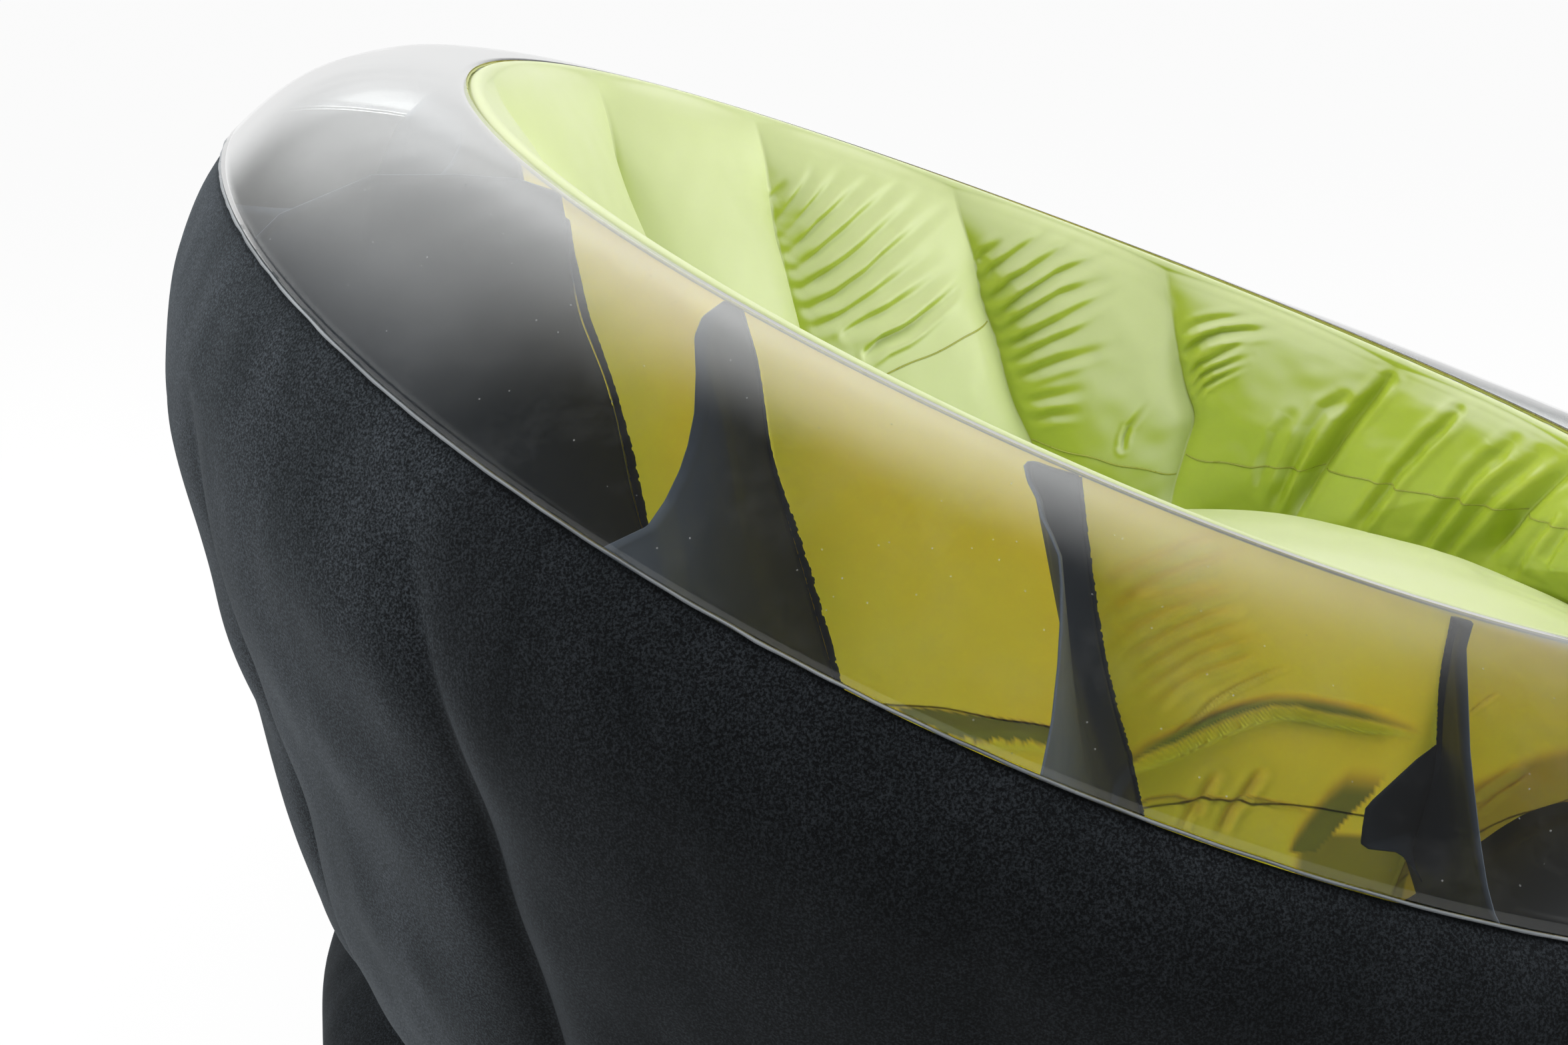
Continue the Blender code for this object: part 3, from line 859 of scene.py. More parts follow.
@dataclass(frozen=True)
class PaintedShadeArea:
    """An area of painted shade on the inner wall's air side, where folds and film behind it keep the light
    away.

    Attributes:
        upper: Points of degrees and height along its upper edge.
        lower: The same along its lower edge.
        share: How dark the painted shade gets.
        soft: The widths over which its upper and lower edges fade, in millimetres.
        ragged: How far its lower edge wanders, in millimetres.
    """

    upper: tuple[tuple[float, float], ...]
    lower: tuple[tuple[float, float], ...]
    share: float
    soft: tuple[float, float]
    ragged: float = 0.1

    def painted_shading(self, degrees: np.ndarray, height: np.ndarray) -> np.ndarray:
        """Return the share of painted shade at places of degrees and height."""
        high, low = np.array(self.upper).T, np.array(self.lower).T
        ragged = self.ragged * (
            ripple(94, degrees / 1.9, height / 0.05) + 0.5 * ripple(95, degrees / 0.6, height / 0.05)
        )
        under = (np.interp(degrees, *high) - height) * 1000.0
        over = (height - np.interp(degrees, *low)) * 1000.0 + ragged
        start, end = min(high[0][0], low[0][0]), max(high[0][-1], low[0][-1])
        ends = smooth(start - 0.4, start + 0.6, degrees) * smooth(end + 0.4, end - 0.6, degrees)
        return self.share * smooth(0.0, self.soft[0], under) * smooth(0.0, self.soft[1], over) * ends


# Millimetres round the inner wall for one degree
FOLD_STEP = 6.28
# How far a fan's fold runs on past its last point, as a share of its length
FAN_TAIL = 0.6
# The sitter's left: fans of folds beside the panels' welds
FANS = tuple(
    Fold(half, drop, path, tail=FAN_TAIL)
    for half, drop, path in (
        (3.0, 2.3, ((-52.4, 0.5531), (-53.0, 0.5576), (-53.6, 0.5617))),
        (3.2, 3.2, ((-52.6, 0.5364), (-54.3, 0.5496), (-56.2, 0.5608))),
        (3.4, 3.2, ((-53.0, 0.5269), (-54.5, 0.5377), (-56.5, 0.5475), (-58.5, 0.5556))),
        (3.6, 4.1, ((-53.2, 0.5151), (-54.6, 0.5234), (-56.8, 0.5338), (-59.2, 0.5417), (-61.0, 0.5474))),
        (
            3.8, 3.8,
            (
                (-53.3, 0.5042), (-54.9, 0.5108), (-56.9, 0.5179), (-60.0, 0.5274), (-62.7, 0.5357),
                (-64.9, 0.542),
            ),
        ),
        (
            3.8, 4.1,
            (
                (-53.4, 0.491), (-55.9, 0.4988), (-58.2, 0.5048), (-60.2, 0.5097), (-62.4, 0.5162),
                (-65.8, 0.5263),
            ),
        ),
        (
            3.8, 3.8,
            (
                (-53.7, 0.4774), (-55.2, 0.4814), (-57.3, 0.4856), (-59.5, 0.4924), (-62.1, 0.4987),
                (-64.7, 0.5071), (-67.5, 0.5143),
            ),
        ),
        (3.6, 3.0, ((-54.0, 0.4657), (-56.7, 0.4709), (-60.1, 0.4781), (-63.2, 0.4855), (-66.3, 0.4925))),
        (4.0, 3.5, ((-57.3, 0.4613), (-60.8, 0.4677), (-64.3, 0.4721), (-66.9, 0.4771), (-68.4, 0.4801))),
        (3.6, 6.4, ((-59.7, 0.4452), (-62.4, 0.4523), (-66.1, 0.4568), (-68.3, 0.4611), (-71.1, 0.468))),
        (3.2, 3.2, ((-79.4, 0.4926), (-80.0, 0.4994), (-81.2, 0.5048))),
        (3.6, 4.1, ((-80.0, 0.4801), (-81.0, 0.4885), (-82.9, 0.4958), (-84.4, 0.5016), (-85.7, 0.506))),
        (
            3.6, 4.6,
            (
                (-80.5, 0.4657), (-81.7, 0.472), (-83.1, 0.4804), (-84.9, 0.4854), (-86.6, 0.4911),
                (-88.0, 0.4957),
            ),
        ),
        (
            3.4, 4.6,
            (
                (-81.5, 0.4545), (-83.0, 0.4637), (-84.8, 0.4716), (-86.6, 0.4773), (-88.6, 0.4837),
                (-90.3, 0.487),
            ),
        ),
        (
            3.6, 3.8,
            (
                (-81.8, 0.4429), (-83.2, 0.4514), (-85.0, 0.4581), (-86.9, 0.464), (-88.9, 0.4696),
                (-90.7, 0.4724),
            ),
        ),
        (3.6, 3.8, ((-82.3, 0.4323), (-84.6, 0.4406), (-86.4, 0.4458), (-88.3, 0.4508), (-91.1, 0.4582))),
        (3.6, 3.0, ((-82.9, 0.4216), (-85.3, 0.4312), (-87.6, 0.4378), (-89.6, 0.4419))),
        (3.6, 2.9, ((-83.7, 0.4116), (-86.1, 0.4181), (-88.7, 0.4236), (-91.4, 0.4276))),
        (3.6, 2.3, ((-84.5, 0.3942), (-87.0, 0.3983), (-89.5, 0.4015))),
        (3.6, 2.3, ((-85.4, 0.3813), (-87.6, 0.3857), (-89.5, 0.3871))),
        (2.4, 3.2, ((-97.4, 0.362), (-97.7, 0.3701), (-98.2, 0.3772), (-99.0, 0.3828))),
        (3.0, 2.3, ((-104.7, 0.4404), (-105.9, 0.4463), (-107.3, 0.4491), (-109.7, 0.4519))),
        (
            3.2, 5.2,
            ((-105.0, 0.4257), (-106.1, 0.4329), (-107.2, 0.4377), (-108.8, 0.4417), (-111.1, 0.4434)),
        ),
        (2.4, 3.8, ((-105.6, 0.4084), (-106.7, 0.4189), (-107.8, 0.4226), (-109.8, 0.4303))),
        (2.2, 3.5, ((-106.1, 0.3992), (-107.0, 0.4103), (-108.3, 0.4164), (-109.9, 0.4205))),
        (2.0, 3.2, ((-106.4, 0.3926), (-107.4, 0.4032), (-108.7, 0.4088), (-109.9, 0.4131))),
    )
)
# Long slanted folds towards the front, about the same on both sides
LONG_FOLDS = (
    Fold(
        4.5, 4.2,
        (
            (-124.0, 0.4014), (-122.2, 0.3934), (-121.1, 0.3811), (-120.1, 0.3621), (-118.6, 0.3341),
            (-117.7, 0.3189),
        ),
    ),
    Fold(4.5, 2.4, ((-118.5, 0.3872), (-117.3, 0.3756), (-116.8, 0.3628), (-115.7, 0.3353))),
    Fold(
        4.5, 6.5,
        (
            (-128.2, 0.4166), (-126.9, 0.4022), (-125.3, 0.3872), (-124.1, 0.3742), (-123.1, 0.3607),
            (-122.0, 0.3462), (-120.2, 0.3157),
        ),
    ),
    Fold(
        4.5, 6.5,
        (
            (-137.3, 0.4041), (-136.3, 0.3923), (-135.0, 0.3807), (-133.9, 0.369), (-132.8, 0.3592),
            (-131.7, 0.3441), (-128.7, 0.3134),
        ),
    ),
    Fold(
        5.0, 5.0,
        (
            (-144.5, 0.3922), (-143.9, 0.3842), (-142.8, 0.3759), (-141.7, 0.3642), (-140.6, 0.3479),
            (-139.1, 0.3318), (-136.7, 0.3056),
        ),
    ),
    Fold(
        5.0, 4.6,
        (
            (-147.9, 0.3866), (-147.2, 0.3777), (-145.9, 0.3673), (-144.6, 0.3569), (-143.2, 0.3428),
            (-141.2, 0.3224), (-139.1, 0.3017),
        ),
    ),
    Fold(
        5.0, 5.4,
        (
            (-151.5, 0.3811), (-150.2, 0.3711), (-148.6, 0.3564), (-147.5, 0.347), (-146.3, 0.3311),
            (-145.0, 0.3141),
        ),
    ),
    Fold(4.0, 2.8, ((-152.4, 0.3499), (-150.6, 0.3343), (-149.3, 0.3159), (-148.6, 0.3017))),
    Fold(5.0, 4.6, ((-155.2, 0.3528), (-153.9, 0.3371), (-152.9, 0.3213))),
)
# The sitter's right, which shows from its air side through the clear band
# Folds seen from the air side; a fold's last number is its painted shade
NEAR_FOLDS = (
    Fold(3.6, -1.7, ((78.3, 0.4914), (80.1, 0.4989), (82.3, 0.5066), (83.9, 0.5149), (85.4, 0.5223)), 0.20),
    Fold(3.6, -2.0, ((79.3, 0.4812), (80.6, 0.4873), (82.8, 0.4962), (84.9, 0.5032), (86.5, 0.5093)), 0.24),
    Fold(3.2, -1.5, ((78.7, 0.4763), (80.6, 0.4816), (83.5, 0.4857), (85.5, 0.4911)), 0.16),
    Fold(3.4, -1.8, ((79.6, 0.4626), (81.5, 0.4695), (83.4, 0.4767), (85.6, 0.4848), (87.0, 0.4902)), 0.22),
    Fold(3.4, -2.0, ((80.4, 0.4512), (82.2, 0.4587), (84.2, 0.4662), (85.9, 0.4724), (87.4, 0.4762)), 0.24),
    Fold(3.4, -2.0, ((81.1, 0.4416), (82.9, 0.4494), (84.5, 0.4566), (86.1, 0.4615), (88.4, 0.4672)), 0.22),
    Fold(3.4, -1.8, ((81.6, 0.4319), (83.5, 0.4399), (85.1, 0.4476), (87.0, 0.4542), (89.7, 0.4615)), 0.20),
    Fold(3.4, -1.8, ((82.6, 0.4217), (84.4, 0.4334), (86.1, 0.4398), (88.1, 0.445), (89.9, 0.452)), 0.18),
    Fold(
        1.6, -1.4,
        ((84.2, 0.4029), (86.1, 0.4142), (87.3, 0.4238), (88.6, 0.4308), (90.3, 0.438), (92.1, 0.4456)),
        0.35,
    ),
    Fold(
        1.3, -0.9,
        (
            (79.0, 0.366), (80.0, 0.367), (82.2, 0.3718), (84.6, 0.3705), (85.9, 0.367), (88.1, 0.3676),
            (89.8, 0.3655), (91.9, 0.3674), (93.5, 0.3648), (95.4, 0.3634), (96.8, 0.3602),
        ),
        0.75,
    ),
    Fold(3.0, -2.2, ((88.0, 0.3801), (87.5, 0.3723), (87.0, 0.3648), (86.6, 0.3556)), 0.40),
    Fold(3.0, -2.4, ((91.9, 0.3813), (90.9, 0.368), (89.9, 0.3599), (89.2, 0.3459)), 0.50),
    Fold(2.6, -1.8, ((86.4, 0.3666), (86.0, 0.3576), (85.6, 0.35)), 0.25),
    Fold(3.5, 2.2, ((111.9, 0.3595), (113.5, 0.3678), (115.3, 0.3767))),
    Fold(1.8, -1.0, ((106.8, 0.4211), (108.1, 0.4315)), 0.30),
)
FOLDS = FANS + LONG_FOLDS + NEAR_FOLDS + tuple(fold.mirror() for fold in LONG_FOLDS[2:])
ARCH = (
    (79.0, 0.3900), (80.8, 0.3919), (84.3, 0.3968), (87.2, 0.4048), (89.7, 0.413), (92.1, 0.4193),
    (94.1, 0.4202), (96.1, 0.418), (98.9, 0.4166), (102.0, 0.4155),
)
PATCH = (
    (56.9, 0.3855), (58.8, 0.3791), (61.7, 0.3742), (64.7, 0.3746), (67.7, 0.3781), (70.6, 0.3809),
    (75.0, 0.3840),
)
LEDGES = (Ledge(ARCH, 8.0, 34.0), Ledge(PATCH, 3.5, 22.0))
# Painted shade on the inner wall's air side
PAINTED_SHADE_AREAS = (
    PaintedShadeArea(
        ((56.5, 0.3876), (58.0, 0.389), (60.5, 0.3907), (63.4, 0.3913), (67.8, 0.3933), (75.0, 0.3970)),
        PATCH, 0.96, (1.5, 1.8), 0.9,
    ),
    PaintedShadeArea(
        (
            (79.0, 0.4000), (80.8, 0.4020), (84.2, 0.4108), (87.0, 0.4207), (89.5, 0.4274), (91.9, 0.431),
            (93.9, 0.4320), (95.8, 0.4318), (98.6, 0.4291), (102.0, 0.423),
        ),
        ARCH, 1.0, (11.0, 3.2),
    ),
    PaintedShadeArea(
        ((95.4, 0.3382), (96.0, 0.3564), (96.9, 0.3717), (97.8, 0.3845), (98.9, 0.3942)),
        ((97.9, 0.3344), (99.0, 0.3474), (100.0, 0.361), (101.0, 0.374), (101.6, 0.3907)),
        0.95, (22.0, 2.0),
    ),
    PaintedShadeArea(
        ((96.4, 0.3380), (98.0, 0.3500), (101.5, 0.3520), (106.0, 0.3450)),
        ((96.4, 0.29), (106.0, 0.29)), 0.85, (5.0, 1.0),
    ),
    PaintedShadeArea(
        ((104.6, 0.352), (107.0, 0.365), (110.0, 0.377), (113.0, 0.386), (116.0, 0.393), (126.0, 0.400)),
        ((104.6, 0.29), (126.0, 0.29)), 0.62, (14.0, 1.0),
    ),
)


@dataclass
class PillowedWall:
    """The inner wall: pillows between the panels' welds, wrinkled beside them."""

    finish: Finishes
    pillow_depth: float = 0.022
    # Just inside its seam the wall arches over a small lip
    lip_radius: float = 0.0055
    lip_flat: float = 0.0014
    lip_share: float = 0.03
    # How far the first panel beside the rear pulls its weld outwards
    rear_pull: float = 0.015
    columns_per_cell: int = 84
    lip_rows: int = 16
    rows: int = 170
    profile: tuple[tuple[float, float], ...] = (
        (0.0, 0.0), (0.012, 0.24), (0.04, 0.46), (0.09, 0.68), (0.15, 0.82), (0.27, 0.95), (0.42, 1.0),
        (0.60, 0.97), (0.76, 0.86), (0.90, 0.56), (0.96, 0.30), (1.0, 0.0),
    )

    def crumple(self, degrees: np.ndarray, height: np.ndarray) -> tuple[np.ndarray, np.ndarray]:
        """Return how far folds stand out of the smooth pillow, and their painted shade.

        Args:
            degrees: Angles from the rear, below zero on the sitter's left.
            height: Heights, in metres.

        Returns:
            The distance towards the sitter, in metres, and the painted shade from 0 to 1.
        """
        total = np.zeros(np.broadcast(degrees, height).shape)
        painted_darkness = np.zeros_like(total)
        for fold in FOLDS:
            sink, painted_fold_shade = fold.valley(degrees, height)
            total -= fold.drop * MM * sink
            painted_darkness = np.maximum(painted_darkness, fold.painted_darkness * painted_fold_shade)
        for ledge in LEDGES:
            total -= ledge.sink(degrees, height)
        for area in PAINTED_SHADE_AREAS:
            painted_darkness = np.maximum(painted_darkness, area.painted_shading(degrees, height))
        return total, painted_darkness

    def surface(self, cell: np.ndarray, depth: np.ndarray) -> tuple[np.ndarray, np.ndarray, np.ndarray]:
        """Return angle, radius and height at a cell coordinate and depth share."""
        return self.folded(cell, depth)[:3]

    def folded(self, cell: np.ndarray, depth: np.ndarray) -> tuple[
        np.ndarray, np.ndarray, np.ndarray, np.ndarray
    ]:
        """Return the surface's angle, radius, height and painted shade.

        Args:
            cell: The cell coordinate round the tub.
            depth: The depth share down the wall; the lip takes the first few hundredths.

        Returns:
            Four arrays.
        """
        angle = cell_angle(cell % PANELS, depth, outer=False)
        top_radius, top_height = LINES.inner(angle)
        low_radius, low_height = LINES.seat(angle)
        number, share = mirrored(cell % PANELS)
        rear = LINES.inner_heights[0] - LINES.seat_height
        head = LINES.weld_clear
        foot = LINES.bead_clear
        tall = top_height - low_height
        fullness = np.sqrt(tall / rear)
        lobe = 4.0 * share * (1.0 - share)
        start = np.clip(depth / self.lip_share, 0.0, 1.0)
        down = np.clip((depth - self.lip_share) / (1.0 - self.lip_share), 0.0, 1.0)
        turn = np.radians(-50.0 + (140.0 - 36.0 * lobe) * np.clip((start - 0.1) / 0.9, 0.0, 1.0))
        below = down * tall
        lip = self.lip_flat * np.clip(start / 0.1, 0.0, 1.0) + self.lip_radius * (
            np.sin(turn) + math.sin(math.radians(50.0))
        )
        rise = self.lip_radius * (np.cos(turn) - math.cos(math.radians(50.0)))
        weld = (1.0 - lobe) ** 3
        lip = lip * (1.0 - smooth(0.45, 1.0, down)) * (1.0 - weld * smooth(0.02, 0.09, below))
        pulled = np.where((number == 0) | (number == 1), np.where(number == 0, share, 1.0 - share), 0.0)
        lip = lip - self.rear_pull * smooth(0.5, 1.0, pulled) * smooth(
            0.30, 0.60, down
        ) * smooth(1.0, 0.75, down)
        # Each pillow overlaps the weld at its front
        full = lobe + 0.35 * share ** 3 * (1.0 - share ** 16) * smooth(0.1, 0.4, down)
        pillow = self.pillow_depth * fullness ** 0.7 * curve(self.profile, down) * full * smooth(
            -0.020, 0.016, below
        )
        height = mix(top_height - head + rise, low_height + foot, down)
        degrees = (np.degrees(angle) + 180.0) % 360.0 - 180.0
        crumple, painted_darkness = self.crumple(degrees, height)
        around = angle * LINES.inner_radius
        soft = ripple(21, around / 0.09, down / 0.3) * 0.6 * MM + ripple(
            22, around / 0.035, down / 0.12
        ) * 0.18 * MM
        soft = soft * smooth(0.0, 0.12, down) * smooth(1.0, 0.9, down) * smooth(0.0, 0.1, lobe)
        bulge = lip + pillow + soft + crumple * smooth(0.0, 0.06, down) * smooth(1.0, 0.95, down)
        return angle, mix(top_radius, low_radius, down) - bulge, height, painted_darkness

    def make(self) -> bpy.types.Object:
        """Make the wall, lime towards the sitter and ochre towards the air."""
        cell = np.arange(PANELS * self.columns_per_cell) / self.columns_per_cell
        lip = np.linspace(0.0, self.lip_share, self.lip_rows, endpoint=False)
        depth = np.concatenate([lip, np.linspace(self.lip_share, 1.0, self.rows)])[:, None]
        angle, radius, height, painted_darkness = self.folded(cell[None, :], depth)
        mesh = grid_mesh("pillowed_wall", LINES.place(angle, radius, height))
        # Painted shade, kept on the points for the air side's colour
        painted_shade_values = mesh.attributes.new("painted_shade_values", "FLOAT", "POINT")
        painted_shade_values.data.foreach_set("value", np.broadcast_to(painted_darkness, height.shape).astype(np.float32).ravel())
        piece = add_piece(
            "pillowed_wall", mesh, [self.finish.lime, self.finish.underside], ["inner_wall"]
        )
        return thicken(piece, LINES.film, back=1)


@dataclass
class SideWeld:
    """The thin weld that joins the inner wall's upper and lower sheets."""

    finish: Finishes
    wall: PillowedWall
    width: float = 1.2 * MM
    # The weld's height at the two ends of each cell from the rear, on the sitter's right and left
    right: tuple[tuple[float, float], ...] = (
        (0.420, 0.415), (0.410, 0.395), (0.388, 0.396), (0.368, 0.361), (0.324, 0.362), (0.350, 0.348),
        (0.347, 0.349),
    )
    left: tuple[tuple[float, float], ...] = (
        (0.452, 0.450), (0.450, 0.446), (0.420, 0.452), (0.365, 0.339), (0.352, 0.351), (0.350, 0.348),
        (0.347, 0.349),
    )

    # Its section: shares of the half width, and millimetres off the wall
    section: tuple[tuple[float, float], ...] = (
        (-1.0, 0.35), (-0.7, 0.75), (0.0, 0.95), (0.7, 0.75), (1.0, 0.35), (0.0, 0.4),
    )

    def make(self) -> list[bpy.types.Object]:
        """Make one flat bead across each pillow."""
        pieces = []
        for number in range(PANELS):
            index = number if number < HALF else PANELS - 1 - number
            start, end = self.right[index] if number < HALF else self.left[index][::-1]
            share = np.linspace(0.012, 0.988, 90)
            height = mix(start, end, share) + 0.7 * MM * np.sin(share * 17.0 + number)
            cell = number + share
            depth = np.full_like(share, 0.5)
            for _ in range(12):
                _, _, level = self.wall.surface(cell, depth)
                angle = cell_angle(cell, depth, outer=False)
                depth = depth + (level - height) / (LINES.inner(angle)[1] - LINES.seat_height)
            rows = []
            for along, out in self.section:
                angle = cell_angle(cell, depth, outer=False)
                step = along * self.width / 2.0 / (LINES.inner(angle)[1] - LINES.seat_height)
                turn, radius, level = self.wall.surface(cell, depth + step)
                rows.append(LINES.place(turn, radius - out * MM, level))
            rows.append(rows[0])
            points = np.stack(rows, axis=1)
            mesh = grid_mesh(f"side_weld_{number + 1:02d}", points[:, :-1])
            close_ends(mesh, len(share), len(self.section))
            pieces.append(
                add_piece(f"side_weld_{number + 1:02d}", mesh, [self.finish.green_weld])
            )
        return pieces


def close_ends(mesh: bpy.types.Mesh, rows: int, columns: int) -> None:
    """Close the two ends of a tube that a wrapped grid makes.

    Args:
        mesh: The tube's mesh.
        rows: How many rings of points it has.
        columns: How many points are in a ring.
    """
    points, faces = read_mesh(mesh)
    faces.append(tuple(range(columns)))
    faces.append(tuple(reversed(range((rows - 1) * columns, rows * columns))))
    fill_mesh(mesh, points, faces)


@dataclass
class ClearBand:
    """The clear rim band, which arches from the outer to the inner seam."""

    finish: Finishes
    arch: float = 0.0215
    columns: int = 616
    rows: int = 30

    def make(self) -> bpy.types.Object:
        """Make the band."""
        angle = once_round(self.columns)
        share = np.linspace(0.0, 1.0, self.rows)[:, None]
        outer_radius, outer_height = LINES.rim(angle)
        inner_radius, inner_height = LINES.inner(angle)
        rise = LINES.weld_clear
        bow = 4.0 * share * (1.0 - share) * (1.0 + 0.25 * (0.5 - share))
        pucker = ripple(31, angle * 3.0, share * 0.8) * 0.35 * MM + ripple(
            32, angle * 14.0, share * 1.2
        ) * 0.05 * MM
        height = mix(outer_height, inner_height, share) + rise + (self.arch + pucker) * bow
        points = LINES.place(angle, mix(outer_radius, inner_radius, share) + 0.0 * angle, height)
        piece = add_piece(
            "clear_band", grid_mesh("clear_band", points), [self.finish.clear], ["rim_band"]
        )
        return thicken(piece, LINES.film)


@dataclass(frozen=True)
class PanelCut:
    """How one panel's film is cut, as points of degrees, radius and height.

    Attributes:
        free_edge: The upper edge from the inner weld to near the outer one.
        outer_top: The height where the outer weld begins.
        tab: The far edge of a tab welded flat to the back of the inner wall.
        margin: The welded margin's widths in millimetres, at heights.
    """

    free_edge: tuple[tuple[float, float, float], ...]
    outer_top: float
    tab: tuple[tuple[float, float, float], ...] = ()
    margin: tuple[tuple[float, float], ...] = ((0.30, 1.2), (0.70, 1.2))


CUTS = {
    1: PanelCut(
        (
            (34.0, 0.391, 0.6440), (33.0, 0.405, 0.6505), (31.0, 0.430, 0.6530), (28.5, 0.465, 0.6530),
            (26.0, 0.505, 0.6345),
        ),
        0.618,
        margin=((0.30, 3.6), (0.6245, 3.6), (0.6255, 0.4), (0.70, 0.4)),
    ),
    2: PanelCut(
        (
            (52.0, 0.391, 0.6105), (51.3, 0.400, 0.6045), (51.1, 0.404, 0.5960), (51.3, 0.405, 0.5800),
            (51.1, 0.405, 0.5610), (51.0, 0.409, 0.5470), (50.9, 0.414, 0.5365), (50.9, 0.424, 0.5250),
            (51.4, 0.440, 0.5180), (51.0, 0.470, 0.5140), (49.5, 0.510, 0.5100),
        ),
        0.505,
        margin=((0.30, 2.6), (0.48, 2.4), (0.54, 1.0), (0.70, 0.8)),
    ),
    3: PanelCut(
        (
            (76.2, 0.391, 0.5515), (74.7, 0.393, 0.5545), (73.5, 0.394, 0.5575), (73.2, 0.396, 0.5560),
            (73.5, 0.398, 0.5495), (74.2, 0.402, 0.5432), (74.5, 0.405, 0.5368), (75.2, 0.410, 0.5304),
            (75.8, 0.415, 0.5237), (76.1, 0.422, 0.5141), (76.3, 0.432, 0.5007), (76.4, 0.443, 0.4867),
            (76.4, 0.458, 0.4690), (76.2, 0.475, 0.4531), (75.8, 0.500, 0.4400),
        ),
        0.430,
        margin=((0.30, 2.2), (0.44, 1.6), (0.70, 0.8)),
    ),
    4: PanelCut(
        (
            (101.1, 0.3905, 0.4868), (101.7, 0.391, 0.4865), (101.6, 0.391, 0.4840),
            (101.6, 0.388, 0.4733), (101.7, 0.392, 0.4535), (101.4, 0.402, 0.4312),
            (101.3, 0.410, 0.4158), (101.2, 0.420, 0.3975), (101.1, 0.425, 0.3912),
            (101.0, 0.432, 0.3819), (101.0, 0.440, 0.3733), (101.0, 0.470, 0.3600),
        ),
        0.350,
        tab=(
            (102.95, 0.3585, 0.4147), (101.5, 0.357, 0.4070), (99.8, 0.355, 0.3951),
            (98.7, 0.353, 0.3866), (98.25, 0.352, 0.3820), (98.3, 0.350, 0.3716), (98.35, 0.349, 0.3626),
            (99.0, 0.349, 0.3595), (101.0, 0.352, 0.3585), (101.5, 0.354, 0.3565), (102.3, 0.356, 0.3500),
            (102.9, 0.357, 0.3444),
        ),
        margin=((0.30, 0.8), (0.70, 0.8)),
    ),
}


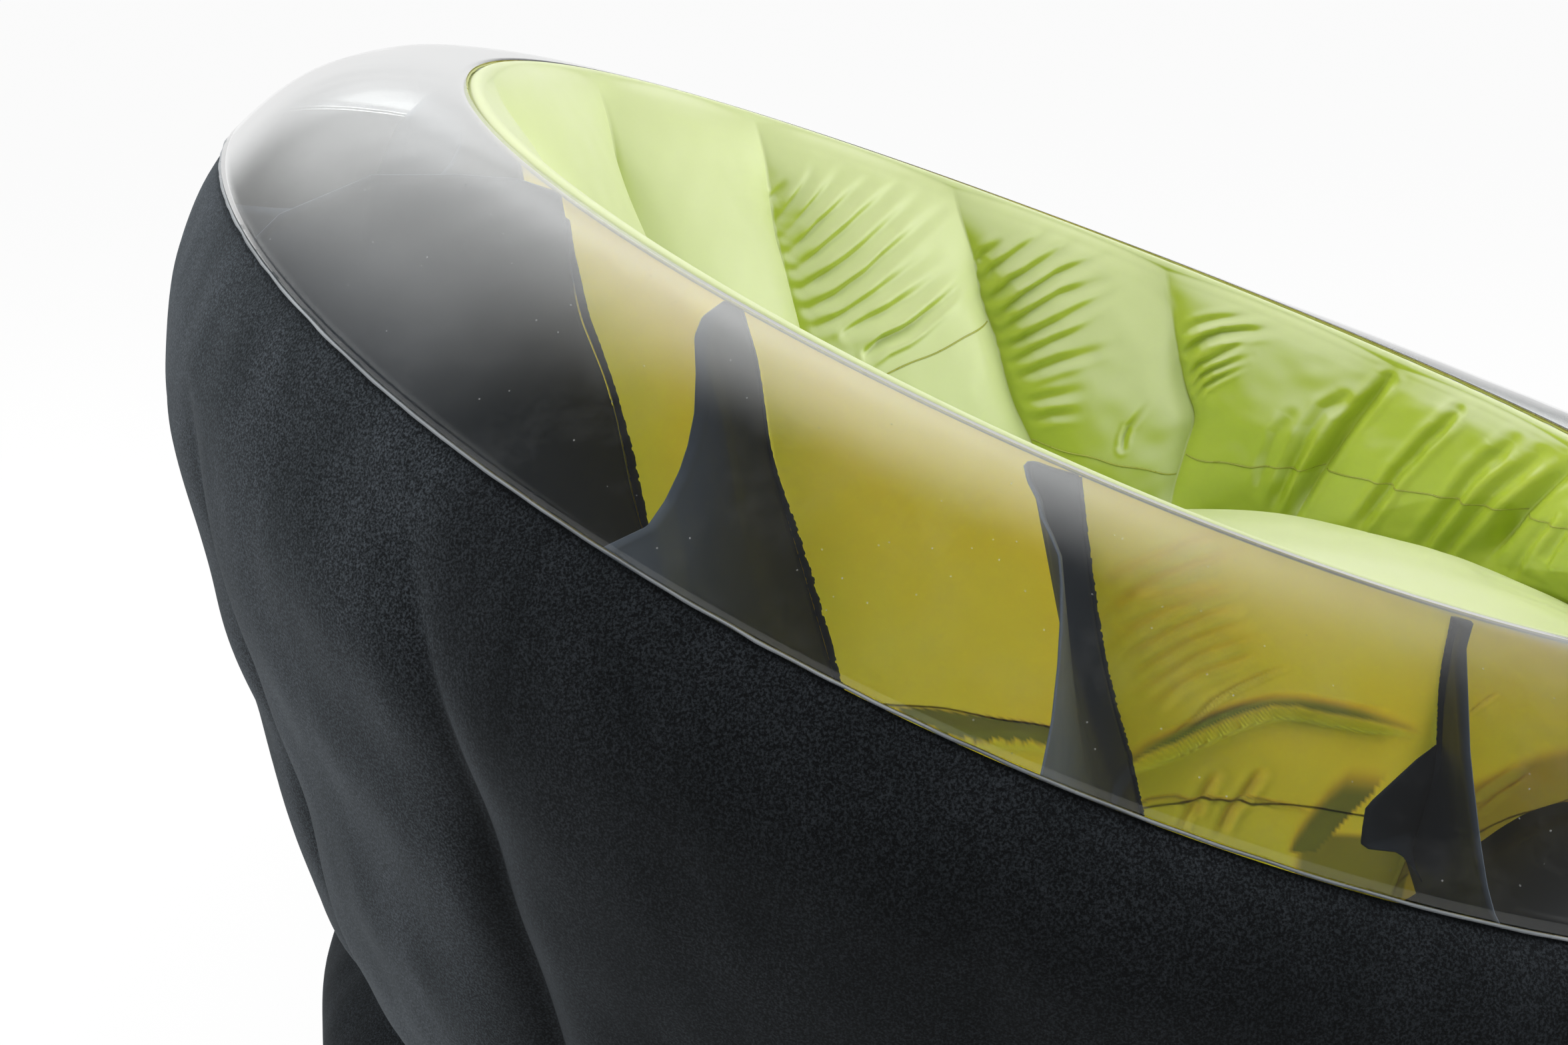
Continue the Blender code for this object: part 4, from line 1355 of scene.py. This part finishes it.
@dataclass
class TensionPanels:
    """The fourteen panels that hold the two walls together."""

    finish: Finishes
    outside: FlockedWall
    inside: PillowedWall
    tab_drop: float = 0.006
    outer_drop: float = 0.046
    inner_foot: float = 0.045
    outer_foot: float = 0.040
    # The longest tooth of a margin's torn edge, in millimetres
    teeth: float = 0.9
    # How wide a cell is on the inner wall
    cell_width: float = 0.165
    # The free edge of a plain panel: share of the way out, share of the fall to the outer weld
    plain_edge: tuple[tuple[float, float], ...] = (
        (0.0, 0.0), (0.06, 0.06), (0.105, 0.16), (0.115, 0.32), (0.12, 0.50), (0.155, 0.66), (0.20, 0.78),
        (0.26, 0.89), (0.36, 0.99), (0.55, 1.06), (0.78, 1.05), (1.0, 1.0),
    )

    def line(
        self, index: int, outer: bool, heights: np.ndarray, aside: np.ndarray | float = 0.0
    ) -> np.ndarray:
        """Return the line beside a weld as angle, radius and height.

        Args:
            index: The panel's number from the rear.
            outer: Whether it is the flocked wall's weld.
            heights: The heights of the line's points.
            aside: How far round the wall from the weld, in cells.

        Returns:
            Three rows, of angle, radius and height.
        """
        wall = self.outside if outer else self.inside
        share = np.linspace(0.0, 1.0, 260) if outer else np.linspace(1.0, self.inside.lip_share, 260)
        angle, radius, height = wall.surface(np.full_like(share, float(index)), share)
        level = np.interp(heights, height, share)
        angle, radius, height = wall.surface(index + aside + 0.0 * level, level)
        off = LINES.film + LINES.gap
        return np.stack([angle, radius + (-off if outer else off), heights])

    def sheet(self, index: int) -> np.ndarray:
        """Return a panel's web as a patch between its welds, its foot and its free edge."""
        cut = CUTS.get(min(index, PANELS - index))
        middle = weld_angle(index, 0.02, outer=False)
        flip = index > HALF
        if cut:
            edge = np.array(cut.free_edge)
            edge[:, 0] = np.radians(360.0 - edge[:, 0] if flip else edge[:, 0])
            inner_top, outer_top = edge[0, 2], cut.outer_top
        else:
            inner_top = float(LINES.inner(middle)[1]) - self.tab_drop
            outer_top = float(LINES.rim(middle)[1]) - self.outer_drop
        inner = self.line(index, False, np.linspace(LINES.seat_height + self.inner_foot, inner_top, 70))
        outer = self.line(index, True, np.linspace(LINES.base_height + self.outer_foot, outer_top, 70))
        if cut:
            inner[:, -1] = edge[0]
            edge = np.concatenate([edge, outer[:, -1:].T])
        else:
            edge = np.array(
                [
                    [
                        mix(inner[0, -1], outer[0, -1], out), mix(inner[1, -1], outer[1, -1], out),
                        mix(inner[2, -1], outer[2, -1], fall),
                    ]
                    for out, fall in self.plain_edge
                ]
            )
        spots = LINES.place(edge[:, 0], edge[:, 1], edge[:, 2])
        run = np.concatenate([[0.0], np.cumsum(np.linalg.norm(np.diff(spots, axis=0), axis=1))])
        across = np.linspace(0.0, 1.0, 90)
        top = np.stack([np.interp(across * run[-1], run, edge[:, axis]) for axis in range(3)])
        rise = np.linspace(0.0, 1.0, 70)[None, :, None]
        side = across[None, None, :]
        foot = mix(inner[:, :1], outer[:, :1], across[None, :])
        welds = mix(inner[:, :, None], outer[:, :, None], side)
        ends = mix(foot[:, None, :], top[:, None, :], rise)
        low = mix(inner[:, :1, None], outer[:, :1, None], side)
        high = mix(inner[:, -1:, None], outer[:, -1:, None], side)
        angle, radius, height = welds + ends - mix(low, high, rise)
        bow = 0.005 * np.sin(math.pi * side[0]) * np.sin(math.pi * rise[0]) * (-1.0 if flip else 1.0)
        return LINES.place(angle + bow, radius, height)

    def margin(self, index: int) -> np.ndarray:
        """Return the welded margin on the inner wall's back, with its torn little teeth."""
        cut = CUTS.get(min(index, PANELS - index), PanelCut((), 0.0))
        high = float(LINES.inner(weld_angle(index, 0.02, outer=False))[1]) - self.tab_drop
        heights = np.linspace(LINES.seat_height + self.inner_foot, high, 420)
        chance = np.random.default_rng(500 + index)
        tooth = np.repeat(chance.uniform(0.0, 1.0, 140), 3)
        strong = 0.25 + 0.75 * smooth(0.56, 0.46, heights)
        width = np.interp(heights, *np.array(cut.margin).T) + self.teeth * tooth * strong
        flip = -1.0 if index > HALF else 1.0
        rows = []
        for share in (-0.25, 0.35, 1.0):
            aside = flip * share * width * MM / self.cell_width
            angle, radius, height = self.line(index, False, heights, aside)
            rows.append(LINES.place(angle, radius + 0.4 * MM, height))
        return np.stack(rows, axis=1)

    def tab(self, index: int) -> np.ndarray | None:
        """Return the tab that lies on the inner wall's back, if the panel has one."""
        cut = CUTS.get(min(index, PANELS - index))
        if not cut or not cut.tab:
            return None
        edge = np.array(cut.tab)
        edge[:, 0] = np.radians(360.0 - edge[:, 0] if index > HALF else edge[:, 0])
        weld = self.line(index, False, edge[:, 2])
        share = np.linspace(0.0, 1.0, 8)[None, None, :]
        angle, radius, height = mix(edge.T[:, :, None], weld[:, :, None], share)
        return LINES.place(angle, radius, height)

    def make_panel(self, index: int) -> bpy.types.Object:
        """Make one panel: its web, its welded margin and its tab."""
        name = f"panel_web_{index + 1:02d}"
        patches = [self.sheet(index), self.margin(index), self.tab(index)]
        points: list[Any] = []
        faces: list[Any] = []
        for patch in (patch for patch in patches if patch is not None):
            part = grid_mesh("patch", patch, wrap=False)
            spots, corners = read_mesh(part)
            faces += [tuple(corner + len(points) for corner in face) for face in corners]
            points += spots
            bpy.data.meshes.remove(part)
        mesh = fill_mesh(bpy.data.meshes.new(name), points, faces)
        piece = add_piece(name, mesh, [self.finish.panel], [f"tension_panel_{index + 1:02d}"])
        return thicken(piece, LINES.film)

    def make(self) -> list[bpy.types.Object]:
        """Make all the panels."""
        return [self.make_panel(index) for index in range(PANELS)]


@dataclass
class Seams:
    """The welded seams where films meet."""

    finish: Finishes
    columns: int = 616

    def ring(
        self, name: str, line: Any, section: Sequence[tuple[float, float]], wave: float,
        finish: bpy.types.Material, slot: Slot, nodes: Sequence[str],
    ) -> bpy.types.Object:
        """Make one seam as a ring.

        Args:
            name: The piece's name.
            line: The function that gives radius and height at an angle.
            section: Offsets of radius and height round the section, in millimetres.
            wave: How far the seam's edge waves, in millimetres.
            finish: Its material.
            slot: Not used.
            nodes: The CAD nodes that it stands for.

        Returns:
            The ring.
        """
        angle = once_round(self.columns)[0]
        radius, height = line(angle)
        far = max(abs(offset[0]) for offset in section)
        rows = []
        for aside, up in (*section, section[0]):
            share = abs(aside) / far
            lift = wave * share * ripple(71 + len(name), angle * 14.0, 0.0 * angle)
            edge = 0.4 * wave * share * ripple(72 + len(name), angle * 31.0, 0.0 * angle)
            rows.append(LINES.place(angle, radius + (aside + edge) * MM, height + (up + lift) * MM))
        mesh = grid_mesh(name, np.stack(rows[::-1])[:-1])
        points, faces = read_mesh(mesh)
        last = (len(section) - 1) * self.columns
        for column in range(self.columns):
            after = (column + 1) % self.columns
            faces.append((last + column, last + after, after, column))
        return add_piece(name, fill_mesh(mesh, points, faces), [finish], nodes)

    @staticmethod
    def foot(angle: np.ndarray) -> tuple[Any, Any]:
        """Return the seam between base ring and bottom sheet."""
        return LINES.foot_radius, LINES.bead_clear + 0.0 * angle

    @staticmethod
    def base(angle: np.ndarray) -> tuple[Any, Any]:
        """Return the seam between wall and base ring."""
        return LINES.base_radius, LINES.base_height + 0.0 * angle

    def make(self) -> list[bpy.types.Object]:
        """Make the seams."""
        flat_out = [(-0.8, -0.5), (0.4, -0.6), (1.2, -0.45), (1.5, 0.0), (1.2, 0.45), (0.4, 0.6), (-0.8, 0.5)]
        flat_in = [(1.0, -0.5), (-0.2, -0.6), (-0.8, -0.5), (-1.1, 0.0), (-0.8, 0.5), (-0.2, 0.6), (1.0, 0.5)]
        bead = [(math.cos(k * math.pi / 4.0) * 1.45, math.sin(k * math.pi / 4.0) * 1.45) for k in range(8)]
        root = [
            (1.9 + 1.3 * math.cos(k * math.pi / 4.0), 0.2 + 0.9 * math.sin(k * math.pi / 4.0))
            for k in range(8)
        ]
        use = self.finish
        return [
            self.ring(
                "outer_rim_weld", LINES.rim, flat_out, 0.35, use.grey_weld, Slot.GREY_WELD,
                ["outer_rim_seam"],
            ),
            self.ring(
                "inner_rim_weld", LINES.inner, flat_in, 0.35, use.green_weld, Slot.GREEN_WELD,
                ["inner_rim_seam"],
            ),
            self.ring("inner_rim_root", LINES.inner, root, 0.0, use.olive_weld, Slot.GREEN_WELD, []),
            self.ring("seat_weld", LINES.seat, bead, 0.0, use.green_weld, Slot.GREEN_WELD, ["seat_seam"]),
            self.ring("base_weld", self.base, bead, 0.0, use.black, Slot.BLACK, ["base_seam"]),
            self.ring("foot_weld", self.foot, bead, 0.0, use.black, Slot.BLACK, ["foot_seam"]),
        ]


@dataclass
class Seat:
    """The crowned seat sheet."""

    finish: Finishes
    crown: float = 0.090
    columns: int = 480
    rows: int = 90

    def make(self) -> bpy.types.Object:
        """Make the seat with short gathers along its seam."""
        angle = once_round(self.columns)
        share = np.linspace(1.0, 0.02, self.rows)[:, None]
        radius, height = LINES.seat(angle)
        radius = radius - LINES.bead_clear
        edge = LINES.place(angle, radius, height)
        centre = np.array([0.0, LINES.centre_y - LINES.seat_forward, LINES.seat_height])
        points = mix(centre, edge, share[:, :, None])
        gather = ripple(
            81, angle * 11.0, share * 2.0
        ) * 1.4 * MM * smooth(0.55, 0.95, share) * smooth(1.0, 0.97, share)
        soft = ripple(82, points[..., 0] / 0.12, points[..., 1] / 0.12) * 0.8 * MM * smooth(1.0, 0.85, share)
        points[..., 2] += self.crown * (1.0 - share ** 2) + gather + soft
        mesh = grid_mesh("crowned_seat", points)
        close_tip(mesh, self.rows, self.columns)
        piece = add_piece(
            "crowned_seat", mesh, [self.finish.lime, self.finish.underside], ["seat_sheet"]
        )
        return thicken(piece, LINES.film, back=1)


def close_tip(mesh: bpy.types.Mesh, rows: int, columns: int) -> None:
    """Close a grid's last ring with a fan of faces round one point."""
    points, faces = read_mesh(mesh)
    last = (rows - 1) * columns
    ring = np.array(points[last:])
    points.append(tuple(ring.mean(axis=0)))
    faces += [(last + column, last + (column + 1) % columns, len(points) - 1) for column in range(columns)]
    fill_mesh(mesh, points, faces)


@dataclass
class Base:
    """The base ring, its bottom sheet and the divider above it."""

    finish: Finishes
    swell: float = 0.046
    divider_rise: float = 0.016
    # How far the divider lies off the inner wall's back
    divider_off: float = 0.0024
    columns: int = 616
    rows: int = 54
    profile: tuple[tuple[float, float], ...] = (
        (0.0, 0.0), (0.17, 0.76), (0.46, 1.0), (0.76, 0.74), (1.0, 0.0)
    )

    def ring(self) -> bpy.types.Object:
        """Make the bulged ring that the wall stands on."""
        angle = once_round(self.columns)
        share = np.linspace(0.0, 1.0, self.rows)[:, None]
        foot_radius, foot_height = Seams.foot(angle)
        gap = LINES.bead_clear
        gather = ripple(91, angle * 12.0, share * 1.5) * 0.7 * MM * (
            smooth(0.35, 0.02, share) + smooth(0.7, 0.98, share)
        )
        soft = ripple(92, angle * 4.0, share * 1.2) * 0.8 * MM
        radius = mix(LINES.base_radius, foot_radius, share) + self.swell * curve(self.profile, share)
        radius = radius + (gather + soft) * smooth(0.0, 0.1, share) * smooth(1.0, 0.9, share)
        height = mix(LINES.base_height - gap, foot_height + gap, share)
        points = VALVES.settle(LINES.place(angle, radius, height), "base_valve")
        mesh = grid_mesh("bulged_base", points[::-1])
        VALVES.open_hole(mesh, "base_valve")
        piece = add_piece("bulged_base", mesh, [self.finish.base_flock], ["base_ring"])
        return thicken(piece, LINES.film)

    def floor(self) -> bpy.types.Object:
        """Make the flat bottom sheet."""
        angle = once_round(self.columns)
        share = np.linspace(1.0, 0.02, 24)[:, None]
        radius = (LINES.foot_radius + LINES.bead / 2.0) * share
        points = LINES.place(angle, radius, LINES.film / 2.0)
        mesh = grid_mesh("bottom_film", points)
        close_tip(mesh, 24, self.columns)
        return thicken(
            add_piece("bottom_film", mesh, [self.finish.black], ["bottom_sheet"]), LINES.film
        )

    def divider(self, wall: PillowedWall) -> bpy.types.Object:
        """Make the sheet between the wall's air and the seat's air.

        It leaves the inner wall's back above the seat seam, towards the front up to the side weld.

        Args:
            wall: The inner wall.

        Returns:
            The sheet.
        """
        cell = np.arange(PANELS * wall.columns_per_cell) / wall.columns_per_cell
        number, share = mirrored(cell)
        front = smooth(3.9, 4.1, number + share)
        top = mix(0.306, 0.312 + 0.044 * smooth(0.05, 0.85, share) * smooth(1.0, 0.93, share), front)
        depth = np.full_like(cell, 0.9)
        for _ in range(12):
            angle, _, level = wall.surface(cell, depth)
            depth = np.clip(depth + (level - top) / (LINES.inner(angle)[1] - LINES.seat_height), 0.2, 0.99)
        rows = []
        for part in np.linspace(0.0, 1.0, 20):
            angle, radius, height = wall.surface(cell, mix(0.998, depth, part))
            rows.append(np.stack([angle, radius + self.divider_off, height]))
        gap = LINES.bead / 2.0 + LINES.film / 2.0 + LINES.gap
        for part in np.linspace(0.0, 1.0, 14)[1:]:
            bow = self.divider_rise * np.sin(math.pi * part ** 0.8) * smooth(0.95, 0.6, part)
            # Its last stretch is nearly level, clear of the outer wall's pinched creases
            fall = mix(part, 1.0 - (1.0 - part) ** 1.7, smooth(0.3, 0.85, part))
            out = mix(radius + self.divider_off, LINES.base_radius - gap, part)
            rows.append(np.stack([angle, out, mix(height, LINES.base_height, fall) + bow]))
        mesh = grid_mesh("divider_film", np.stack([LINES.place(*row) for row in rows]))
        piece = add_piece("divider_film", mesh, [self.finish.black], ["chamber_divider"])
        return thicken(piece, LINES.film)

    def make(self, wall: PillowedWall) -> list[bpy.types.Object]:
        """Make the three films."""
        return [self.ring(), self.floor(), self.divider(wall)]


@dataclass
class Valves:
    """The two air valves, which keep their CAD shapes."""

    angle: float = -1.5 * 2.0 * math.pi / PANELS
    # The film lies flat under the flange and blends into its curve round it
    flat_radius: float = 21.0 * MM
    blend_radius: float = 42.0 * MM
    hole_radius: float = 12.5 * MM
    # How far off the flange's plane a point can be and still belong to the film there
    reach: float = 20.0 * MM

    def settle(self, points: np.ndarray, name: str) -> np.ndarray:
        """Lay the film flat under a valve's flange."""
        spot = VALVE_SPOTS[name]
        inverse = np.array(spot.inverted())
        local = points @ inverse[:3, :3].T + inverse[:3, 3]
        away = np.hypot(local[..., 0], local[..., 1])
        hold = smooth(self.blend_radius, self.flat_radius, away) * (np.abs(local[..., 2]) < self.reach)
        local[..., 2] = local[..., 2] * (1.0 - hold)
        forward = np.array(spot)
        return local @ forward[:3, :3].T + forward[:3, 3]

    def open_hole(self, mesh: bpy.types.Mesh, name: str) -> None:
        """Take out the film's faces under a valve's flange."""
        inverse = VALVE_SPOTS[name].inverted()
        points = [tuple(vertex.co) for vertex in mesh.vertices]
        faces = []
        for face in mesh.polygons:
            local = inverse @ face.center
            if math.hypot(local.x, local.y) > self.hole_radius or abs(local.z) > self.reach:
                faces.append(tuple(face.vertices))
        used = sorted({index for face in faces for index in face})
        place = {old: new for new, old in enumerate(used)}
        fill_mesh(mesh, [points[old] for old in used], [tuple(place[old] for old in face) for face in faces])

    def dress(self, finish: Finishes) -> None:
        """Give the valves' CAD pieces their moulded vinyl."""
        for node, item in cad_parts.items():
            if "valve" in node:
                for slot in item.material_slots:
                    slot.material = finish.valve
                LOG.info("dressed %s", node)


def valve_spot(angle: float, low: tuple[float, float], high: tuple[float, float]) -> Matrix:
    """Return a valve's matrix from two points of its film, as radius and height."""
    start = Vector(LINES.place(angle, *low))
    end = Vector(LINES.place(angle, *high))
    up = (end - start).normalized()
    along = Vector((-math.cos(angle), -math.sin(angle), 0.0))
    out = along.cross(up)
    along = out.cross(up)
    turn = Matrix((up, along, out)).transposed().to_4x4()
    return Matrix.Translation((start + end) / 2.0) @ turn


def valve_spots() -> dict[str, Matrix]:
    """Return where the two valves sit, half way between two rings of their films."""
    angle = Valves.angle
    rim = float(LINES.rim(angle)[1])
    fullness = math.sqrt((rim - LINES.base_height) / (LINES.rim_heights[0] - LINES.base_height))
    foot = LINES.bead_clear
    wall = []
    for level, swell in ((0.20, 0.71), (0.50, 0.90)):
        radius = mix(LINES.base_radius, LINES.rim_radius, level) + FlockedWall.swell * fullness * swell
        wall.append((radius, mix(LINES.base_height + foot, rim - LINES.weld_clear, level)))
    base = []
    for share, swell in ((0.46, 1.0), (0.17, 0.76)):
        radius = mix(LINES.base_radius, LINES.foot_radius, share) + Base.swell * swell
        base.append((radius, mix(LINES.base_height - foot, 2.0 * foot, share)))
    return {"wall_valve": valve_spot(angle, *wall), "base_valve": valve_spot(angle, *base)}


VALVE_SPOTS = valve_spots()
VALVES = Valves()


# Studio


@dataclass
class Studio:
    """Floor, world, lamps and camera."""

    position: tuple[float, float, float] = (-1.2372, 0.2045, 0.815)
    yaw: float = -0.0015
    pitch: float = 0.3196
    roll: float = -0.0039
    lens: float = 49.26

    def world(self) -> None:
        """White behind the chair, and a dim studio above and before it."""
        world = bpy.data.worlds.new("studio")
        bpy.context.scene.world = world
        world.use_nodes = True
        world.node_tree.nodes.clear()
        add = partial(add_node, world.node_tree)
        rays = add("LightPath")
        where = add("TexCoord").outputs["Generated"]
        split = add("SeparateXYZ", {0: where})
        behind = add("Math", {0: split.outputs["Y"], 1: 0.0}, operation="MAXIMUM")
        aslant = add("Math", {0: behind, 1: 0.36, 2: split.outputs["X"]}, operation="MULTIPLY_ADD")
        across = add(
            "MapRange",
            {"Value": aslant, "From Min": 0.06, "From Max": 0.58},
            interpolation_type="SMOOTHSTEP",
        )
        front = add(
            "MapRange",
            {"Value": split.outputs["Y"], "From Min": -0.80, "From Max": -0.25},
            interpolation_type="SMOOTHSTEP",
        )
        rear = add(
            "MapRange",
            {"Value": split.outputs["Y"], "From Min": 0.94, "From Max": 0.46},
            interpolation_type="SMOOTHSTEP",
        )
        high = add(
            "MapRange",
            {
                "Value": split.outputs["Z"], "From Min": 0.26, "From Max": 0.62, "To Min": 0.70,
                "To Max": 2.1,
            },
            interpolation_type="SMOOTHSTEP",
        )
        middle = add("Math", {0: front, 1: rear}, operation="MULTIPLY")
        screen = add("Math", {0: middle, 1: across}, operation="MULTIPLY")
        overhead = add("Math", {0: screen, 1: high}, operation="MULTIPLY")
        facing = add(
            "MapRange",
            {"Value": split.outputs["Y"], "From Min": -0.70, "From Max": -0.92, "To Max": 2.4},
            interpolation_type="SMOOTHSTEP",
        )
        level = add(
            "MapRange",
            {"Value": split.outputs["Z"], "From Min": 0.52, "From Max": 0.26},
            interpolation_type="SMOOTHSTEP",
        )
        panel = add("Math", {0: facing, 1: level}, operation="MULTIPLY")
        both = add("Math", {0: overhead, 1: panel}, operation="ADD")
        mirror = add("Math", {0: both, 1: 0.17}, operation="ADD")
        ambient = add("Background", {"Color": linear("#ffffff"), "Strength": 0.15})
        gloss = add("Background", {"Color": linear("#ffffff"), "Strength": mirror})
        white = add("Background", {"Color": linear("#ffffff"), "Strength": 1.0})
        seen = add(
            "Math",
            {0: rays.outputs["Is Camera Ray"], 1: rays.outputs["Is Transmission Ray"]},
            operation="MAXIMUM",
        )
        first = add("MixShader", {0: rays.outputs["Is Glossy Ray"], 1: ambient, 2: gloss})
        second = add("MixShader", {0: seen, 1: first, 2: white})
        add("OutputWorld", {"Surface": second})

    def floor(self) -> None:
        """Make the pale floor, which the camera sees as white with a soft shadow."""
        corners = np.array(
            [[[-60.0, -60.0, 0.0], [60.0, -60.0, 0.0]], [[-60.0, 60.0, 0.0], [60.0, 60.0, 0.0]]]
        )
        plane = bpy.data.objects.new("studio_floor", grid_mesh("studio_floor", corners, wrap=False))
        bpy.context.scene.collection.objects.link(plane)
        material, add = new_material("pale_paper_floor")
        rays = add("LightPath")
        seen = add(
            "Math",
            {0: rays.outputs["Is Camera Ray"], 1: rays.outputs["Is Transmission Ray"]},
            operation="MAXIMUM",
        )
        shown = add("Math", {0: seen, 1: rays.outputs["Is Glossy Ray"]}, operation="MAXIMUM")
        part = add("Math", {0: shown, 1: 0.90}, operation="MULTIPLY")
        paper = add("BsdfDiffuse", {"Color": linear("#bfbfbe")})
        white = add("Emission", {"Color": linear("#ffffff"), "Strength": 1.06})
        both = add("MixShader", {0: part, 1: paper, 2: white})
        add("OutputMaterial", {"Surface": both})
        plane.data.materials.append(material)

    def lamp(self, name: str, place: tuple[float, float, float], size: float, power: float) -> None:
        """Add a square soft lamp that points at the chair."""
        data = bpy.data.lights.new(name, "AREA")
        data.shape = "SQUARE"
        data.size = size
        data.energy = power
        item = bpy.data.objects.new(name, data)
        bpy.context.scene.collection.objects.link(item)
        item.visible_glossy = False
        item.location = place
        item.rotation_mode = "QUATERNION"
        item.rotation_quaternion = (Vector((0.0, 0.0, 0.35)) - Vector(place)).to_track_quat("-Z", "Y")

    def camera(self) -> None:
        """Set the camera where the photograph was taken from."""
        data = bpy.data.cameras.new("photo_camera")
        data.sensor_fit = "HORIZONTAL"
        data.sensor_width = 36.0
        data.lens = self.lens
        data.clip_start = 0.01
        item = bpy.data.objects.new("photo_camera", data)
        bpy.context.scene.collection.objects.link(item)
        ahead = Vector(
            (
                math.cos(self.yaw) * math.cos(self.pitch), math.sin(self.yaw) * math.cos(self.pitch),
                -math.sin(self.pitch),
            )
        )
        level = ahead.cross(Vector((0.0, 0.0, 1.0))).normalized()
        upright = level.cross(ahead)
        right = math.cos(self.roll) * level + math.sin(self.roll) * upright
        up = -math.sin(self.roll) * level + math.cos(self.roll) * upright
        item.matrix_world = Matrix.Translation(self.position) @ Matrix(
            (right, up, -ahead)
        ).transposed().to_4x4()
        bpy.context.scene.camera = item

    def make(self) -> None:
        """Set the studio up."""
        self.world()
        self.floor()
        self.lamp("overhead_softbox", (-0.55, -0.25, 2.5), 1.7, 37.0)
        self.lamp("front_softbox", (0.3, -2.2, 1.45), 1.6, 41.0)
        self.lamp("rear_softbox", (0.35, 2.35, 1.4), 1.3, 54.0)
        self.camera()
        bpy.context.scene.view_settings.view_transform = "Standard"


def main() -> None:
    """Build the chair and its studio."""
    logging.basicConfig(level=logging.INFO, format="%(name)s: %(message)s")
    Studio().make()
    finish = Finishes.make()
    outside = FlockedWall(finish)
    inside = PillowedWall(finish)
    outside.make()
    inside.make()
    SideWeld(finish, inside).make()
    ClearBand(finish).make()
    TensionPanels(finish, outside, inside).make()
    Seams(finish).make()
    Seat(finish).make()
    Base(finish).make(inside)
    VALVES.dress(finish)


if __name__ == "__main__":
    main()
